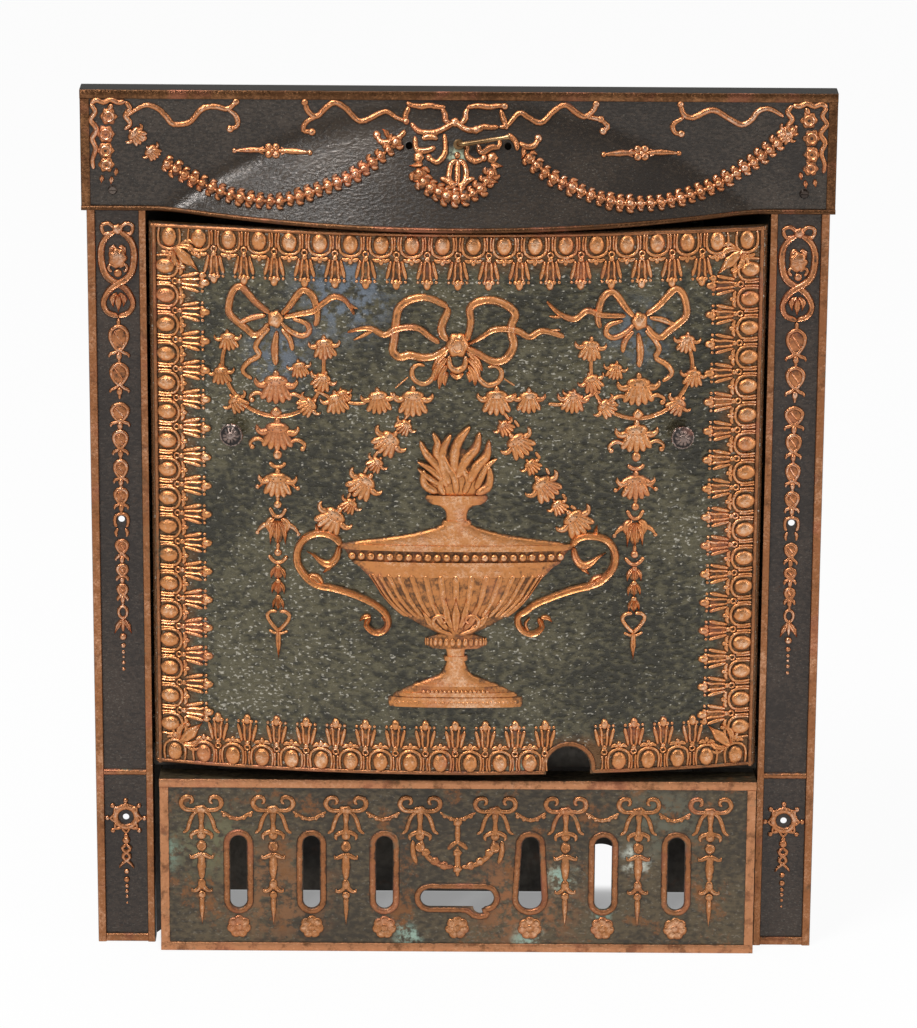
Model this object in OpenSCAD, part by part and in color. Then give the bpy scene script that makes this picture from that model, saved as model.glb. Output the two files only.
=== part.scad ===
// Coal-burning fireplace insert with its bow-front summer cover in place.
// A pressed copper-plated surround (two pilasters and a hood) is fixed to a sheet-iron
// firebox. The cover and the ash front pull off towards the room. A rod through the hood
// turns the damper in the flue collar, and the grate shakes from side to side.
// Millimetres. The part stands on z = 0 with its front towards -Y. Inside the modules the
// face of the pilasters is y = 0, and set_back() then moves each piece to the part's origin.

/* [Overall] */
// Width over the two pilasters
frame_w = 622; // [606:1:650]
// Height from the floor to the top of the hood
frame_h = 760; // [745:1:800]
// Clear width between the pilasters
opening_w = 522; // [506:1:532]
// Thickness of the pressed sheet
sheet = 1.2; // [0.9:0.1:1.6]
// Thickness of the firebox plate
plate = 2; // [1.5:0.1:2.5]
// Depth from the face to the outside of the back plate
firebox_d = 128; // [122:1:160]

/* [Pilasters] */
// Width of the raised rim beside the opening
rim_in = 6; // [4:0.5:8]
// Width of the raised rim along the outer edge
rim_out = 7; // [4:0.5:8]
// Depth of the sunk panels behind the rims
recess = 2.5; // [1.5:0.1:3.5]
// Depth of the side returns
pil_return = 18; // [17:0.5:19.5]
// Height of each pilaster behind the hood
pil_lap = 60; // [40:1:80]
// Height of the rim along the floor
base_rim = 7; // [4:0.5:10]
// Height of the middle of the cross rib above the floor
rib_z = 157; // [150:1:165]
// Width of the cross rib
rib_w = 9; // [6:0.5:12]
// Diameter of the fixing holes
fix_d = 5.6; // [5:0.1:7]
// Height of the lower fixing holes
fix_z = 115.5; // [90:0.5:130]
// Distance between the lower and the upper fixing holes
fix_pitch = 270.5; // [200:0.5:350]
// Outer radius of the star boss round the lower fixing holes
star_r = 14; // [11:0.5:16]
// Height of the star boss above its panel
star_h = 1.6; // [1:0.1:2]
// Height of the stop tab above the floor
stop_z = 30; // [15:1:60]
// Height of the stop tab itself
stop_h = 25; // [15:1:40]
// Reach of the stop tab into the opening
stop_reach = 9; // [6:0.5:12]

/* [Hood] */
// Overhang of the hood past each pilaster
hood_overhang = 4; // [2.5:0.1:8]
// Height of the hood at its flat ends
hood_h = 103; // [100:1:106]
// How far the lip stands in front of the flat ends
hood_bulge = 46.5; // [44:0.5:50]
// Distance from a pilaster's outer edge to where the bow starts
bow_inset = 61; // [56:1:70]
// Height of the flat band above the bow
hood_band = 15; // [10:0.5:20]
// How far the lip drops below the flat ends
hood_drop = 7; // [3:0.5:7.5]
// Half-height of the blend where the bow leaves the flat
hood_ease = 6; // [3:0.5:8]
// Depth of the flange along the top
hood_flange = 20; // [18:0.5:24]
// Depth of the returns at the two ends
hood_side = 14; // [8:0.5:20]
// Width of the raised rim
hood_rim_w = 8; // [5:0.5:10]
// Height of the raised rim above the sheet
hood_rim_h = 1.8; // [1:0.1:2.5]
// Diameter of the rolled bead along the lip
lip_d = 4.5; // [4:0.1:6]
// Place of the hood screws between the opening and the hood's end rims, as a share
hood_screw_share = 0.6; // [0.5:0.01:0.65]
// Height of the hood screws above the hood's lower edge
hood_screw_up = 17.4; // [12:0.1:25]
// Diameter of the hood screws
hood_screw_d = 4; // [3:0.1:5]
// Diameter of the two small holes beside the damper rod
small_hole_d = 6; // [4:0.1:7]
// Distance of the small holes from the middle
small_hole_x = 41; // [30:0.5:60]
// How far the small holes lie below the rod
small_hole_drop = 2.5; // [0:0.5:6]

/* [Cover] */
// Gap between the cover's rim and each pilaster
cover_gap = 5; // [4:0.1:7]
// How far the cover bows out in the middle
cover_bow = 30; // [24:0.5:34]
// How far the cover's ends stand in front of the face
cover_stand = 8; // [7:0.1:9]
// Gap between the cover's top and the hood's lip
cover_top_gap = 1.5; // [1:0.1:4]
// Gap between the cover's bottom and the ash front's top
cover_ash_gap = 11.7; // [8:0.1:16]
// Width of the raised line round the cover
cover_line_w = 4; // [3:0.1:5]
// Height of the raised line above the cover
cover_line_h = 2.2; // [1.5:0.1:3]
// Width of the raised border inside the line
border_w = 44; // [36:1:50]
// Height of the raised border above the cover
border_h = 1.2; // [0.8:0.1:1.8]
// Depth of the skirt behind the line
skirt_d = 6.5; // [4:0.1:6.5]
// How far the skirt spreads at its back edge
skirt_spread = 3; // [2:0.1:3.4]
// Distance of the pipe notch from the middle
notch_x = 97; // [80:1:120]
// Radius of the pipe notch
notch_r = 19; // [14:0.5:22]
// Height of the notch's centre above the cover's bottom
notch_up = 6; // [3:0.5:10]
// Width of the raised line round the notch
notch_line = 5; // [3:0.5:6]
// Distance of each knob from the cover's side
knob_in = 68; // [56:1:80]
// Height of the knobs above the cover's bottom
knob_up = 300.5; // [280:0.5:320]
// Diameter of the knobs
knob_d = 20; // [16:0.5:24]
// Length of each knob in front of the cover
knob_l = 15; // [12:0.5:17]
// Diameter of the knob's stud
stud_d = 5; // [4:0.1:6]
// Width across the corners of the stud's nut
nut_d = 11; // [9:0.1:12]
// Thickness of the stud's nut
nut_h = 4; // [3:0.1:5]

/* [Urn relief] */
// Height of the urn's foot above the cover's bottom
urn_up = 76; // [60:1:90]
// Height of the urn from its foot to the tips of the flames
urn_h = 250; // [220:1:260]
// Width of the urn's bowl
urn_w = 200; // [160:1:210]
// Height of the relief above the cover
urn_relief = 3; // [2:0.1:4]

/* [Garlands and bows] */
// Height of the garlands and bows above their sheet
garland_h = 3; // [2:0.1:3.4]
// Diameter of a garland's large flowers
flower_d = 21; // [16:0.5:24]
// Distance of the side bows from the middle
bow_x = 151; // [145:1:156]
// Height of the bows above the middle of the cover
bow_up = 158; // [150:1:162]
// Width of the bows' ribbons
ribbon_w = 6; // [4:0.5:8]
// Radius of the loops of the middle bow
big_loop_r = 24; // [20:0.5:26]
// Radius of the loops of the side bows
small_loop_r = 16; // [13:0.5:18]
// Half-width of the round garland under a side bow
wreath_w = 42; // [36:1:46]
// Distance between the flowers of a drop
drop_step = 43; // [40:0.5:45]
// Height of the level garland above the middle of the cover
level_up = 96; // [92:1:100]
// Distance between the flowers of the level garland
level_step = 33; // [30:0.5:34]
// Distance between the flowers of the slanting garland, measured down
slant_step = 16.5; // [14:0.5:18]
// Length of the middle bow's side ribbons
ribbon_l = 34; // [24:1:38]
// Diameter of the husks in the hood's swags
husk_d = 8; // [6:0.5:9]
// How far the hood's swags sag
swag_sag = 49; // [40:1:50]
// Height of the hood's swags above its sheet
swag_h = 2.4; // [1.5:0.1:2.6]
// Height of one wave of the hood's ribbons
wave_h = 6; // [4:0.5:7]

/* [Cover fittings] */
// Distance of each upright brace's middle from the cover's side
brace_in = 16; // [15:0.5:30]
// Width of a brace
brace_w = 14; // [10:0.5:16]
// Thickness of a brace
brace_t = 2; // [1.5:0.1:3]
// Distance from the cover's top and bottom to a brace's ends
brace_end = 60; // [40:1:80]
// Thickness of a spring clip
clip_t = 0.8; // [0.5:0.1:1.2]
// Height of a spring clip
clip_h = 16; // [12:0.5:24]
// Distance from the cover's top and bottom to the middle of a clip
clip_end = 84; // [72:1:110]
// Running gap between a clip and its pilaster
clip_gap = 0.3; // [0.2:0.05:0.6]

/* [Ash front] */
// Height of the ash front
ash_h = 158.8; // [152:0.1:159.5]
// Gap between the ash front and the pilaster on its left
ash_gap_left = 6; // [4:0.1:8]
// Gap between the ash front and the pilaster on its right
ash_gap_right = 1; // [0.6:0.1:3]
// How far the ash front stands in front of the face
ash_stand = 20; // [16:0.5:24]
// How far the ash front reaches behind the face
ash_reach = 13.7; // [10:0.1:14]
// Depth of the top flange
ash_flange = 26; // [22:0.5:28]
// Width of the raised rim round the ash front
ash_rim = 8; // [5:0.5:9]
// Depth of the sunk panel behind the rim
ash_recess = 1.6; // [1:0.1:2]
// Distance between the vents
vent_pitch = 63.2; // [60:0.1:66]
// Width of a vent
vent_w = 14.5; // [12:0.1:16]
// Height of a vent
vent_h = 66.7; // [60:0.1:70]
// Height of the vents' lower ends above the floor
vent_z = 40; // [36:0.5:46]
// Width of the raised line round a vent
vent_line = 6; // [4:0.1:7]
// Width of the widened foot of the vent right of the slot
wide_vent_w = 23; // [18:0.5:24]
// Length of the wide slot
slot_w = 63.5; // [56:0.5:66]
// Height of the wide slot
slot_h = 16; // [12:0.5:18]
// Height of the wide slot's middle above the floor
slot_z = 50; // [46:0.5:54]
// Distance of the small notch from the slot's middle
slot_notch_x = 20; // [10:0.5:22]
// Radius of the small notch
slot_notch_r = 6.2; // [4:0.1:7]

/* [Firebox] */
// How far each cheek closes in from front to back
cheek_splay = 49; // [40:1:60]
// Depth at which the cheeks start to close in
splay_y = 20; // [20:0.5:24]
// How far each cheek reaches into its pilaster
cheek_lap = 12; // [9:0.5:14]
// Width of the flanges behind the back plate
back_flange = 16; // [14:0.5:24]
// Distance from the top of the hood to the top of the firebox
top_drop = 60; // [54:1:62]
// How far the firebox's front flange stops below the hood's top
flange_drop = 2; // [1.8:0.1:4]
// How far the firebox's front flange stops short of the opening's sides
flange_in = 10; // [5:1:20]
// Distance of the gas-pipe notch from the middle
pipe_x = 131; // [120:1:150]
// Width of the gas-pipe notch
pipe_w = 44; // [36:1:50]
// Height of the gas-pipe notch
pipe_h = 46; // [40:1:60]

/* [Flue and damper] */
// Outer diameter of the flue collar
collar_d = 90; // [84:1:92]
// Wall of the flue collar
collar_t = 1.5; // [1.2:0.1:2]
// Width of the collar's flange
collar_flange = 9; // [8:0.5:10]
// Height of the collar above the firebox
collar_h = 36; // [34:0.5:38]
// Length of the spigot that the flue pipe slips over
spigot_l = 14; // [10:0.5:14]
// Width of the step that stops the pipe
spigot_step = 1.5; // [1:0.1:2.5]
// Diameter of the damper rod
rod_d = 4.8; // [4.4:0.1:5.2]
// Height of the rod above the firebox
rod_up = 19; // [18:0.5:21]
// Running clearance round the rod in the collar
rod_clear = 0.05; // [0.03:0.01:0.1]
// Clearance round the rod in the hood and the front flange
rod_pass = 0.6; // [0.3:0.1:1]
// How far the rod stands out behind the collar
rod_end = 4; // [2:0.5:6]
// Distance from the hood's surface to the middle of the handle
handle_stand = 8.5; // [7:0.5:12]
// Length of the turned handle
handle_l = 42; // [34:1:48]
// Angle of the handle above the horizontal when the damper is shut
handle_rest = 10; // [0:1:15]
// Gap between the damper plate and the collar
damper_gap = 2.5; // [1.5:0.1:4]
// Thickness of the damper plate
damper_t = 1.6; // [1.2:0.1:2.5]
// Distance of the damper's rivets from its middle
damper_rivet_y = 25; // [15:1:32]

/* [Rails, basket and grate] */
// Height of the front rail above the ash front
rail_gap = 3.2; // [2:0.1:8]
// Height of the rails
rail_h = 20; // [16:0.5:24]
// Depth at which the front rail stands
rail_y = 8; // [6:0.5:9]
// Depth of the rails' ledges
rail_ledge = 22; // [18:0.5:24]
// Gap between the front rail's ledge and the opening's sides
ledge_in = 6; // [5:0.5:12]
// Gap between the basket and the back plate's sides
basket_gap = 6; // [5:0.5:10]
// Thickness of the basket's ends
end_t = 6; // [4:0.5:8]
// Width of the basket ends' feet
end_foot = 10; // [8:0.5:10]
// Height of the basket
basket_h = 118; // [100:1:130]
// How far the basket's front bows out
basket_bow = 30; // [20:1:31]
// Depth of the basket's corner posts
post_y = 16; // [15:0.5:18]
// Diameter of the corner posts
post_d = 12; // [10:0.5:13]
// Number of bars across the basket's front
bar_count = 6; // [4:1:7]
// Diameter of the bars
bar_d = 8; // [6:0.5:9]
// Side-to-side travel of the grate each way
shake = 22; // [15:0.5:24]
// Gap at the grate's sides at the end of its travel
shake_gap = 2; // [1:0.5:4]
// Thickness of the grate
grate_t = 10; // [8:0.5:12]
// Gap between the grate and the basket's front bars
grate_gap = 10; // [9:0.5:14]
// Distance between the grate's slots
slot_pitch = 15; // [14:0.5:18]
// Width of the grate's slots
grate_slot = 7; // [5:0.5:8]
// Running gap under the grate and behind the ash front
seat_gap = 0.3; // [0.2:0.05:0.5]
// Depth of the shaker arm
arm_y = 50; // [45:1:60]
// Width of the shaker arm
arm_w = 18; // [14:0.5:22]
// Thickness of the shaker arm
arm_t = 4; // [3:0.5:6]
// Height of the arm's eye above the floor
eye_z = 53; // [50:1:60]
// Diameter of the hole in the arm's eye
eye_d = 12; // [8:0.5:14]

/* [Rivets] */
// Distance from the top of the rails to the next rivet of the seams
seam_over_rail = 18; // [12:1:30]
// Distance from the top of the cheeks to the highest rivet of the seams
seam_top = 80; // [60:1:110]
// Diameter of a rivet
rivet_d = 4; // [3:0.1:4.5]
// Height of a rivet's head
rivet_head = 1.6; // [1.2:0.1:2]
// Clearance round a rivet in its hole
rivet_clear = 0.05; // [0.02:0.01:0.1]

/* [Hidden] */

$fn = 64;
// A piece of arc this long or longer is drawn with this many sides
fine = 720;
// Overlap that lets a cut run clear of a face
cut = 1;
// Least gap of a flat strip behind the bowed sheet
flat_fit = 0.05;

copper = "#9a5b38";
dark_copper = "#4a3226";
black_iron = "#2b2826";
bright_steel = "#8d8f91";

// Pilasters
pil_x0 = opening_w / 2;
pil_x1 = frame_w / 2;
pil_w = pil_x1 - pil_x0;
fix_x = (pil_x0 + rim_in + pil_x1 - rim_out) / 2;
hood_edge_z = frame_h - hood_h;
pil_h = hood_edge_z + pil_lap;
star_points = 8;

// Hood
hood_w = frame_w + 2 * hood_overhang;
half_bow = frame_w / 2 - bow_inset;
lip_r = lip_d / 2;
hood_foot_z = hood_edge_z + 1.4 * lip_d;
swag_in = 54;
swag_out = frame_w / 2 - 30;
ribbon_z = frame_h - 19;
swag_z = frame_h - 41;
lip_z = hood_edge_z - hood_drop + lip_r;
band_z = frame_h - hood_band;
bow_end = half_bow * sqrt(1 + hood_ease / hood_bulge) + 1;
hood_cols = 40;
hood_rows = 6;
bead_angles = [105, 142, 180, 225, 270, 315, 360, 398, 435];
hood_screw_x = pil_x0 + hood_screw_share * (hood_w / 2 - hood_rim_w - pil_x0);
hood_screw_z = hood_edge_z + hood_screw_up;
screw_clear = 0.2;
screw_head_d = 2.1 * hood_screw_d;
screw_head_h = 0.6 * hood_screw_d;
screw_slot = 0.25 * hood_screw_d;
hood_nut_d = 2 * hood_screw_d;
hood_nut_h = 0.8 * hood_screw_d;

// Heights inside
deck_z = frame_h - top_drop;
cheek_h = deck_z - plate;
rod_z = deck_z + rod_up;
rail_z = ash_h + rail_gap;
rail_top = rail_z + rail_h;

// Cover
cover_half = opening_w / 2 - cover_gap;
cover_r = (cover_half * cover_half + cover_bow * cover_bow) / (2 * cover_bow);
cover_cy = cover_r - cover_bow - cover_stand;
cover_z0 = ash_h + cover_ash_gap;
cover_z1 = hood_edge_z - hood_drop - cover_top_gap;
knob_z = cover_z0 + knob_up;
knob_x = cover_half - knob_in;
brace_x = cover_half - brace_in;
clip_ups = [clip_end, cover_z1 - cover_z0 - clip_end];
nut_fit = nut_d * nut_d / (8 * cover_r) + flat_fit;
stud_clear = 0.05;
brace_fit = brace_w * brace_w / (8 * cover_r) + flat_fit;

// Ash front
ash_x0 = -opening_w / 2 + ash_gap_left;
ash_x1 = opening_w / 2 - ash_gap_right;
ash_mid = (ash_x0 + ash_x1) / 2;

// Firebox
back_w = opening_w - 2 * cheek_splay;
cheek_x = opening_w / 2 + sheet;
cheek_path = [
    [cheek_x, pil_return - cheek_lap],
    [cheek_x, splay_y],
    [back_w / 2, firebox_d],
    [back_w / 2 - back_flange, firebox_d]
];
collar_y = firebox_d + plate - collar_flange - collar_d / 2;
seam_low = rail_z + rail_h + seam_over_rail;
seam_rivets = concat([rail_z * 0.37], [for (i = [0:3]) seam_low + i * (cheek_h - seam_top - seam_low) / 3]);
side_rivets = [205, 320, 435, 590];
seam_x = back_w / 2 - back_flange / 2;
side_rivet_y = pil_return - cheek_lap / 2;
rail_rivet_y = rail_y + plate + 0.9 * rivet_d + seat_gap;

// Basket and grate
basket_x1 = back_w / 2 - basket_gap;
basket_x0 = basket_x1 - end_t;
post_x = basket_x0 + end_t / 2;
basket_r = (post_x * post_x + basket_bow * basket_bow) / (2 * basket_bow);
basket_cy = post_y - basket_bow + basket_r;
basket_turn = asin(post_x / basket_r);
back_ledge_y = firebox_d - plate - rail_ledge;
end_y0 = post_y + post_d / 2 + seat_gap;
end_y1 = firebox_d - plate - 14;
grate_half = basket_x0 - shake - shake_gap;
grate_z = rail_top + seat_gap;
rail_rivet_x = [-160, -60, 60, 160];
grate_slots = floor((grate_half - slot_pitch) / slot_pitch);
arm_rivet_y = [62, 72];

// Where the part's origin lies behind the face
front_reach = hood_bulge + sheet / 2 + lip_r;
back_reach = firebox_d + plate + rivet_head;
face_y = (front_reach - back_reach) / 2;

module set_back() translate([0, face_y, 0]) children();

module both_sides() {
    children();
    mirror([1, 0, 0]) children();
}

// A round bar that runs back from the point it is placed at
module bar_y(d, l) rotate([-90, 0, 0]) cylinder(d = d, h = l);

// A round bar that runs towards +X
module bar_x(d, l) rotate([0, 90, 0]) cylinder(d = d, h = l);

// A rivet along +Z whose grip starts at z = 0
module rivet(d, grip, first = true, second = true) {
    head_d = 1.8 * d;
    cylinder(d = d, h = grip);
    if (first) translate([0, 0, -rivet_head]) cylinder(d1 = 0.6 * head_d, d2 = head_d, h = rivet_head);
    if (second) translate([0, 0, grip]) cylinder(d1 = head_d, d2 = 0.6 * head_d, h = rivet_head);
}

function unit(v) = v / norm(v);
function left_of(v) = [-v[1], v[0]];
// Point i of a path, moved by d to the path's left
function beside(p, i, d) =
    let (
        a = unit(p[max(i, 1)] - p[max(i, 1) - 1]),
        b = unit(p[min(i, len(p) - 2) + 1] - p[min(i, len(p) - 2)]),
        m = unit(left_of(a) + left_of(b))
    ) p[i] + m * d / (m * left_of(a));
// Outline of a bent strip: the path, and the path moved by t to its left
function strip(p, t) = concat(p, [for (i = [len(p) - 1:-1:0]) beside(p, i, t)]);

// Solid between rings of points that all have the same count
module skin(rings) {
    n = len(rings);
    k = len(rings[0]);
    polyhedron(
        points = [for (r = rings) each r],
        faces = concat(
            [[for (j = [0:k - 1]) j]],
            [for (i = [0:n - 2], j = [0:k - 1]) each [
                [i * k + j, (i + 1) * k + j, (i + 1) * k + (j + 1) % k],
                [i * k + j, (i + 1) * k + (j + 1) % k, i * k + (j + 1) % k]
            ]],
            [[for (j = [k - 1:-1:0]) (n - 1) * k + j]]
        )
    );
}

// Pressed surround

module star(r) {
    polygon([for (i = [0:2 * star_points - 1])
        let (a = 90 + i * 180 / star_points, q = i % 2 == 0 ? r : 0.62 * r) [q * cos(a), q * sin(a)]
    ]);
}

module pilaster() {
    panel_w = pil_w - rim_in - rim_out;
    difference() {
        union() {
            difference() {
                translate([pil_x0, 0, 0]) cube([pil_w, pil_return, pil_h]);
                for (span = [[base_rim, rib_z - rib_w / 2], [rib_z + rib_w / 2, pil_h + cut]])
                    translate([pil_x0 + rim_in, -cut, span[0]])
                        cube([panel_w, recess + cut, span[1] - span[0]]);
                translate([pil_x0 + sheet, recess + sheet, -cut])
                    cube([pil_w - 2 * sheet, pil_return, pil_h + 2 * cut]);
            }
            translate([fix_x, recess + cut / 2, fix_z])
                rotate([90, 0, 0]) linear_extrude(star_h + cut / 2) star(star_r);
            translate([pil_x0 - stop_reach, ash_reach + seat_gap, stop_z])
                cube([stop_reach + sheet, sheet, stop_h]);
        }
        for (z = [fix_z, fix_z + fix_pitch]) translate([fix_x, -cut, z]) bar_y(fix_d, pil_return);
        translate([hood_screw_x, -cut, hood_screw_z]) bar_y(hood_screw_d + 2 * screw_clear, pil_return);
        side_rivet_cuts();
    }
}

// Rivets that hold a cheek to its pilaster's return
module side_rivet_places() {
    for (z = side_rivets) translate([pil_x0, side_rivet_y, z]) rotate([0, 90, 0]) children();
}

// Rivets that hold the front rail's end to a return
module rail_end_place() translate([pil_x0 - plate, rail_rivet_y, rail_z + rail_h / 2]) rotate([0, 90, 0]) children();

module rivet_cut(l) translate([0, 0, -cut]) cylinder(d = rivet_d + 2 * rivet_clear, h = l + 2 * cut);

module side_rivet_cuts() {
    side_rivet_places() rivet_cut(sheet + plate);
    rail_end_place() rivet_cut(plate + sheet + plate);
}

module right_pilaster() color(copper) set_back() pilaster();
module left_pilaster() color(copper) set_back() mirror([1, 0, 0]) pilaster();

function eased(u) =
    u <= -hood_ease ? 0 : u >= hood_ease ? u : (u + hood_ease) * (u + hood_ease) / (4 * hood_ease);
// How far the hood's sheet stands in front of the face at x and z
function hood_y(x, z) =
    eased(hood_bulge * ((band_z - z) / (band_z - lip_z) - (x / half_bow) * (x / half_bow)));
// Height of the middle of the lip's bead at x
function bead_z(x) = hood_edge_z + lip_r - hood_drop * hood_y(x, lip_z) / hood_bulge;
// How far the bead's middle stands in front of the sheet's back: clear of the face at the flat ends
function bead_out(x) = lip_r + (sheet / 2 - lip_r) * hood_y(x, lip_z) / hood_bulge;

function hood_ring(x) =
    let (
        z0 = bead_z(x),
        y0 = -hood_y(x, z0) - bead_out(x),
        foot = z0 + 2 * lip_r,
        front = [for (i = [0:hood_rows]) frame_h + (foot - frame_h) * i / hood_rows],
        back = [for (i = [hood_rows:-1:0]) frame_h - sheet + (foot - frame_h + sheet) * i / hood_rows]
    ) concat(
        [[x, hood_flange, frame_h - sheet], [x, hood_flange, frame_h]],
        [for (z = front) [x, -hood_y(x, z) - sheet, z]],
        [for (a = bead_angles) [x, y0 + lip_r * cos(a), z0 + lip_r * sin(a)]],
        [for (z = back) [x, -hood_y(x, z), z]]
    );

// Boss on the hood, square to its sheet
module hood_boss(x, z, d) {
    n = [hood_y(x - 0.5, z) - hood_y(x + 0.5, z), -1, hood_y(x, z - 0.5) - hood_y(x, z + 0.5)];
    translate([x, -hood_y(x, z) - sheet / 2, z]) rotate([0, acos(n[2] / norm(n)), atan2(n[1], n[0])])
        cylinder(d1 = d, d2 = 0.6 * d, h = sheet / 2 + swag_h, $fn = 10);
}

// Swag and ribbons of one side of the hood, its end drop and half of the wreath in the middle
module side_swag() {
    for (i = [0:18]) let (t = i / 18)
        hood_boss(swag_in + t * (swag_out - swag_in), swag_z - 4 * swag_sag * t * (1 - t), husk_d);
    for (i = [0:8]) {
        for (x = [swag_in, swag_out - 9 * husk_d])
            hood_boss(x + 1.1 * husk_d * (i - 1), ribbon_z + wave_h * sin(40 * i), 0.55 * husk_d);
    }
    for (i = [0:3]) hood_boss(hood_screw_x + husk_d / 2, ribbon_z - 2 * husk_d * i - 3, 1.5 * husk_d);
    for (a = [0:30:90]) hood_boss(0.65 * swag_in * cos(a), rod_z - 19 - 22 * sin(a), husk_d);
    hood_boss((swag_in + swag_out) / 2 - husk_d, rod_z - 10, husk_d);
}

module hood() color(dark_copper) set_back() difference() {
    union() {
        both_sides() side_swag();
        skin([for (x = concat(
            [-hood_w / 2],
            [for (i = [0:hood_cols]) -bow_end + 2 * bow_end * i / hood_cols],
            [hood_w / 2]
        )) hood_ring(x)]);
        both_sides() {
            translate([hood_w / 2 - sheet, -0.7 * sheet, hood_foot_z])
                cube([sheet, hood_side + 0.7 * sheet, frame_h - sheet / 2 - hood_foot_z]);
            translate([hood_w / 2 - hood_rim_w, -sheet - hood_rim_h, hood_foot_z])
                cube([hood_rim_w, hood_rim_h + sheet / 2, frame_h - hood_foot_z]);
        }
        translate([-hood_w / 2, -sheet - hood_rim_h, frame_h - hood_rim_w])
            cube([hood_w, hood_rim_h + sheet / 2, hood_rim_w]);
    }
    translate([0, -front_reach, rod_z]) bar_y(rod_d + 2 * rod_pass, front_reach + cut);
    both_sides() {
        translate([small_hole_x, -front_reach, rod_z - small_hole_drop]) bar_y(small_hole_d, front_reach + cut);
        translate([hood_screw_x, -cut - sheet, hood_screw_z]) bar_y(hood_screw_d + 2 * screw_clear, sheet + 2 * cut);
    }
}

module hood_screws() color(bright_steel) set_back() both_sides()
    translate([hood_screw_x, -sheet, hood_screw_z]) {
        bar_y(hood_screw_d, sheet + recess + sheet + hood_nut_h + cut);
        difference() {
            rotate([90, 0, 0]) cylinder(d1 = screw_head_d, d2 = 0.7 * screw_head_d, h = screw_head_h);
            translate([-screw_head_d, -screw_head_h - cut, -screw_slot / 2])
                cube([2 * screw_head_d, cut + screw_head_h / 2, screw_slot]);
        }
    }

module hood_nuts() color(bright_steel) set_back() both_sides()
    translate([hood_screw_x, recess + sheet, hood_screw_z]) difference() {
        translate([-hood_nut_d / 2, 0, -hood_nut_d / 2]) cube([hood_nut_d, hood_nut_h, hood_nut_d]);
        translate([0, -cut, 0]) bar_y(hood_screw_d + 2 * rivet_clear, hood_nut_h + 2 * cut);
    }

// Firebox

module cheek() difference() {
    linear_extrude(cheek_h) polygon(strip(cheek_path, -plate));
    side_rivet_cuts();
    seam_rivet_places() rivet_cut(2 * plate);
}

module seam_rivet_places() {
    for (z = seam_rivets) translate([seam_x, firebox_d - plate, z]) rotate([-90, 0, 0]) children();
}

module right_cheek() color(black_iron) set_back() cheek();
module left_cheek() color(black_iron) set_back() mirror([1, 0, 0]) cheek();

module back_plate() color(black_iron) set_back() difference() {
    translate([-back_w / 2, firebox_d - plate, 0]) cube([back_w, plate, cheek_h]);
    translate([pipe_x - pipe_w / 2, firebox_d - plate - cut, -cut])
        cube([pipe_w, plate + 2 * cut, pipe_h - pipe_w / 2 + cut]);
    translate([pipe_x, firebox_d - plate - cut, pipe_h - pipe_w / 2]) bar_y(pipe_w, plate + 2 * cut);
    both_sides() seam_rivet_places() rivet_cut(plate);
    back_rail_places() rivet_cut(2 * plate);
}

module top_plate() color(black_iron) set_back() {
    near = beside(cheek_path, 1, -plate);
    far = beside(cheek_path, 2, -plate);
    side = opening_w / 2 - seat_gap;
    step_y = (pil_return + splay_y) / 2;
    half = [[side, 0], [side, step_y], [near[0], step_y], near, far];
    difference() {
        union() {
            translate([0, 0, cheek_h]) linear_extrude(plate)
                polygon(concat(half, [for (i = [len(half) - 1:-1:0]) [-half[i][0], half[i][1]]]));
            translate([-opening_w / 2 + flange_in, 0, cheek_h])
                cube([opening_w - 2 * flange_in, plate, frame_h - flange_drop - cheek_h]);
        }
        translate([0, collar_y, cheek_h - cut]) cylinder(d = collar_d - 2 * collar_t, h = plate + 2 * cut);
        translate([0, -cut, rod_z]) bar_y(rod_d + 2 * rod_pass, plate + 2 * cut);
        collar_rivet_places() rivet_cut(2 * plate);
    }
}

module collar_rivet_places() {
    for (a = [45:90:315])
        translate([0, collar_y, cheek_h]) rotate([0, 0, a])
            translate([collar_d / 2 + (collar_flange + spigot_step) / 2, 0, 0]) children();
}

module flue_collar() color(black_iron) set_back() difference() {
    translate([0, collar_y, deck_z]) {
        cylinder(d = collar_d, h = collar_h);
        cylinder(d = collar_d + 2 * spigot_step, h = collar_h - spigot_l);
        cylinder(d = collar_d + 2 * collar_flange, h = plate);
    }
    translate([0, collar_y, deck_z - cut]) cylinder(d = collar_d - 2 * collar_t, h = collar_h + 2 * cut);
    translate([0, collar_y - collar_d, rod_z]) bar_y(rod_d + 2 * rod_clear, 2 * collar_d);
    collar_rivet_places() rivet_cut(2 * plate);
}

module collar_rivets() color(black_iron) set_back() collar_rivet_places() rivet(rivet_d * 0.75, 2 * plate);

// Rails that carry the grate and the basket

module front_rail() color(black_iron) set_back() difference() {
    union() {
        translate([-opening_w / 2, rail_y, rail_z]) cube([opening_w, plate, rail_h]);
        translate([-opening_w / 2 + ledge_in, rail_y, rail_top - plate])
            cube([opening_w - 2 * ledge_in, rail_ledge, plate]);
        both_sides() translate([opening_w / 2 - plate, rail_y, rail_z]) cube([plate, pil_return - rail_y, rail_h]);
    }
    both_sides() rail_end_place() rivet_cut(plate);
}

module back_rail_places() {
    for (x = rail_rivet_x)
        translate([x, firebox_d - 2 * plate, rail_z + (rail_h - plate) / 2]) rotate([-90, 0, 0]) children();
}

module back_rail() color(black_iron) set_back() difference() {
    union() {
        translate([-basket_x1, firebox_d - 2 * plate, rail_z]) cube([2 * basket_x1, plate, rail_h]);
        translate([-basket_x1, back_ledge_y, rail_top - plate]) cube([2 * basket_x1, rail_ledge, plate]);
    }
    back_rail_places() rivet_cut(plate);
}

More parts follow.
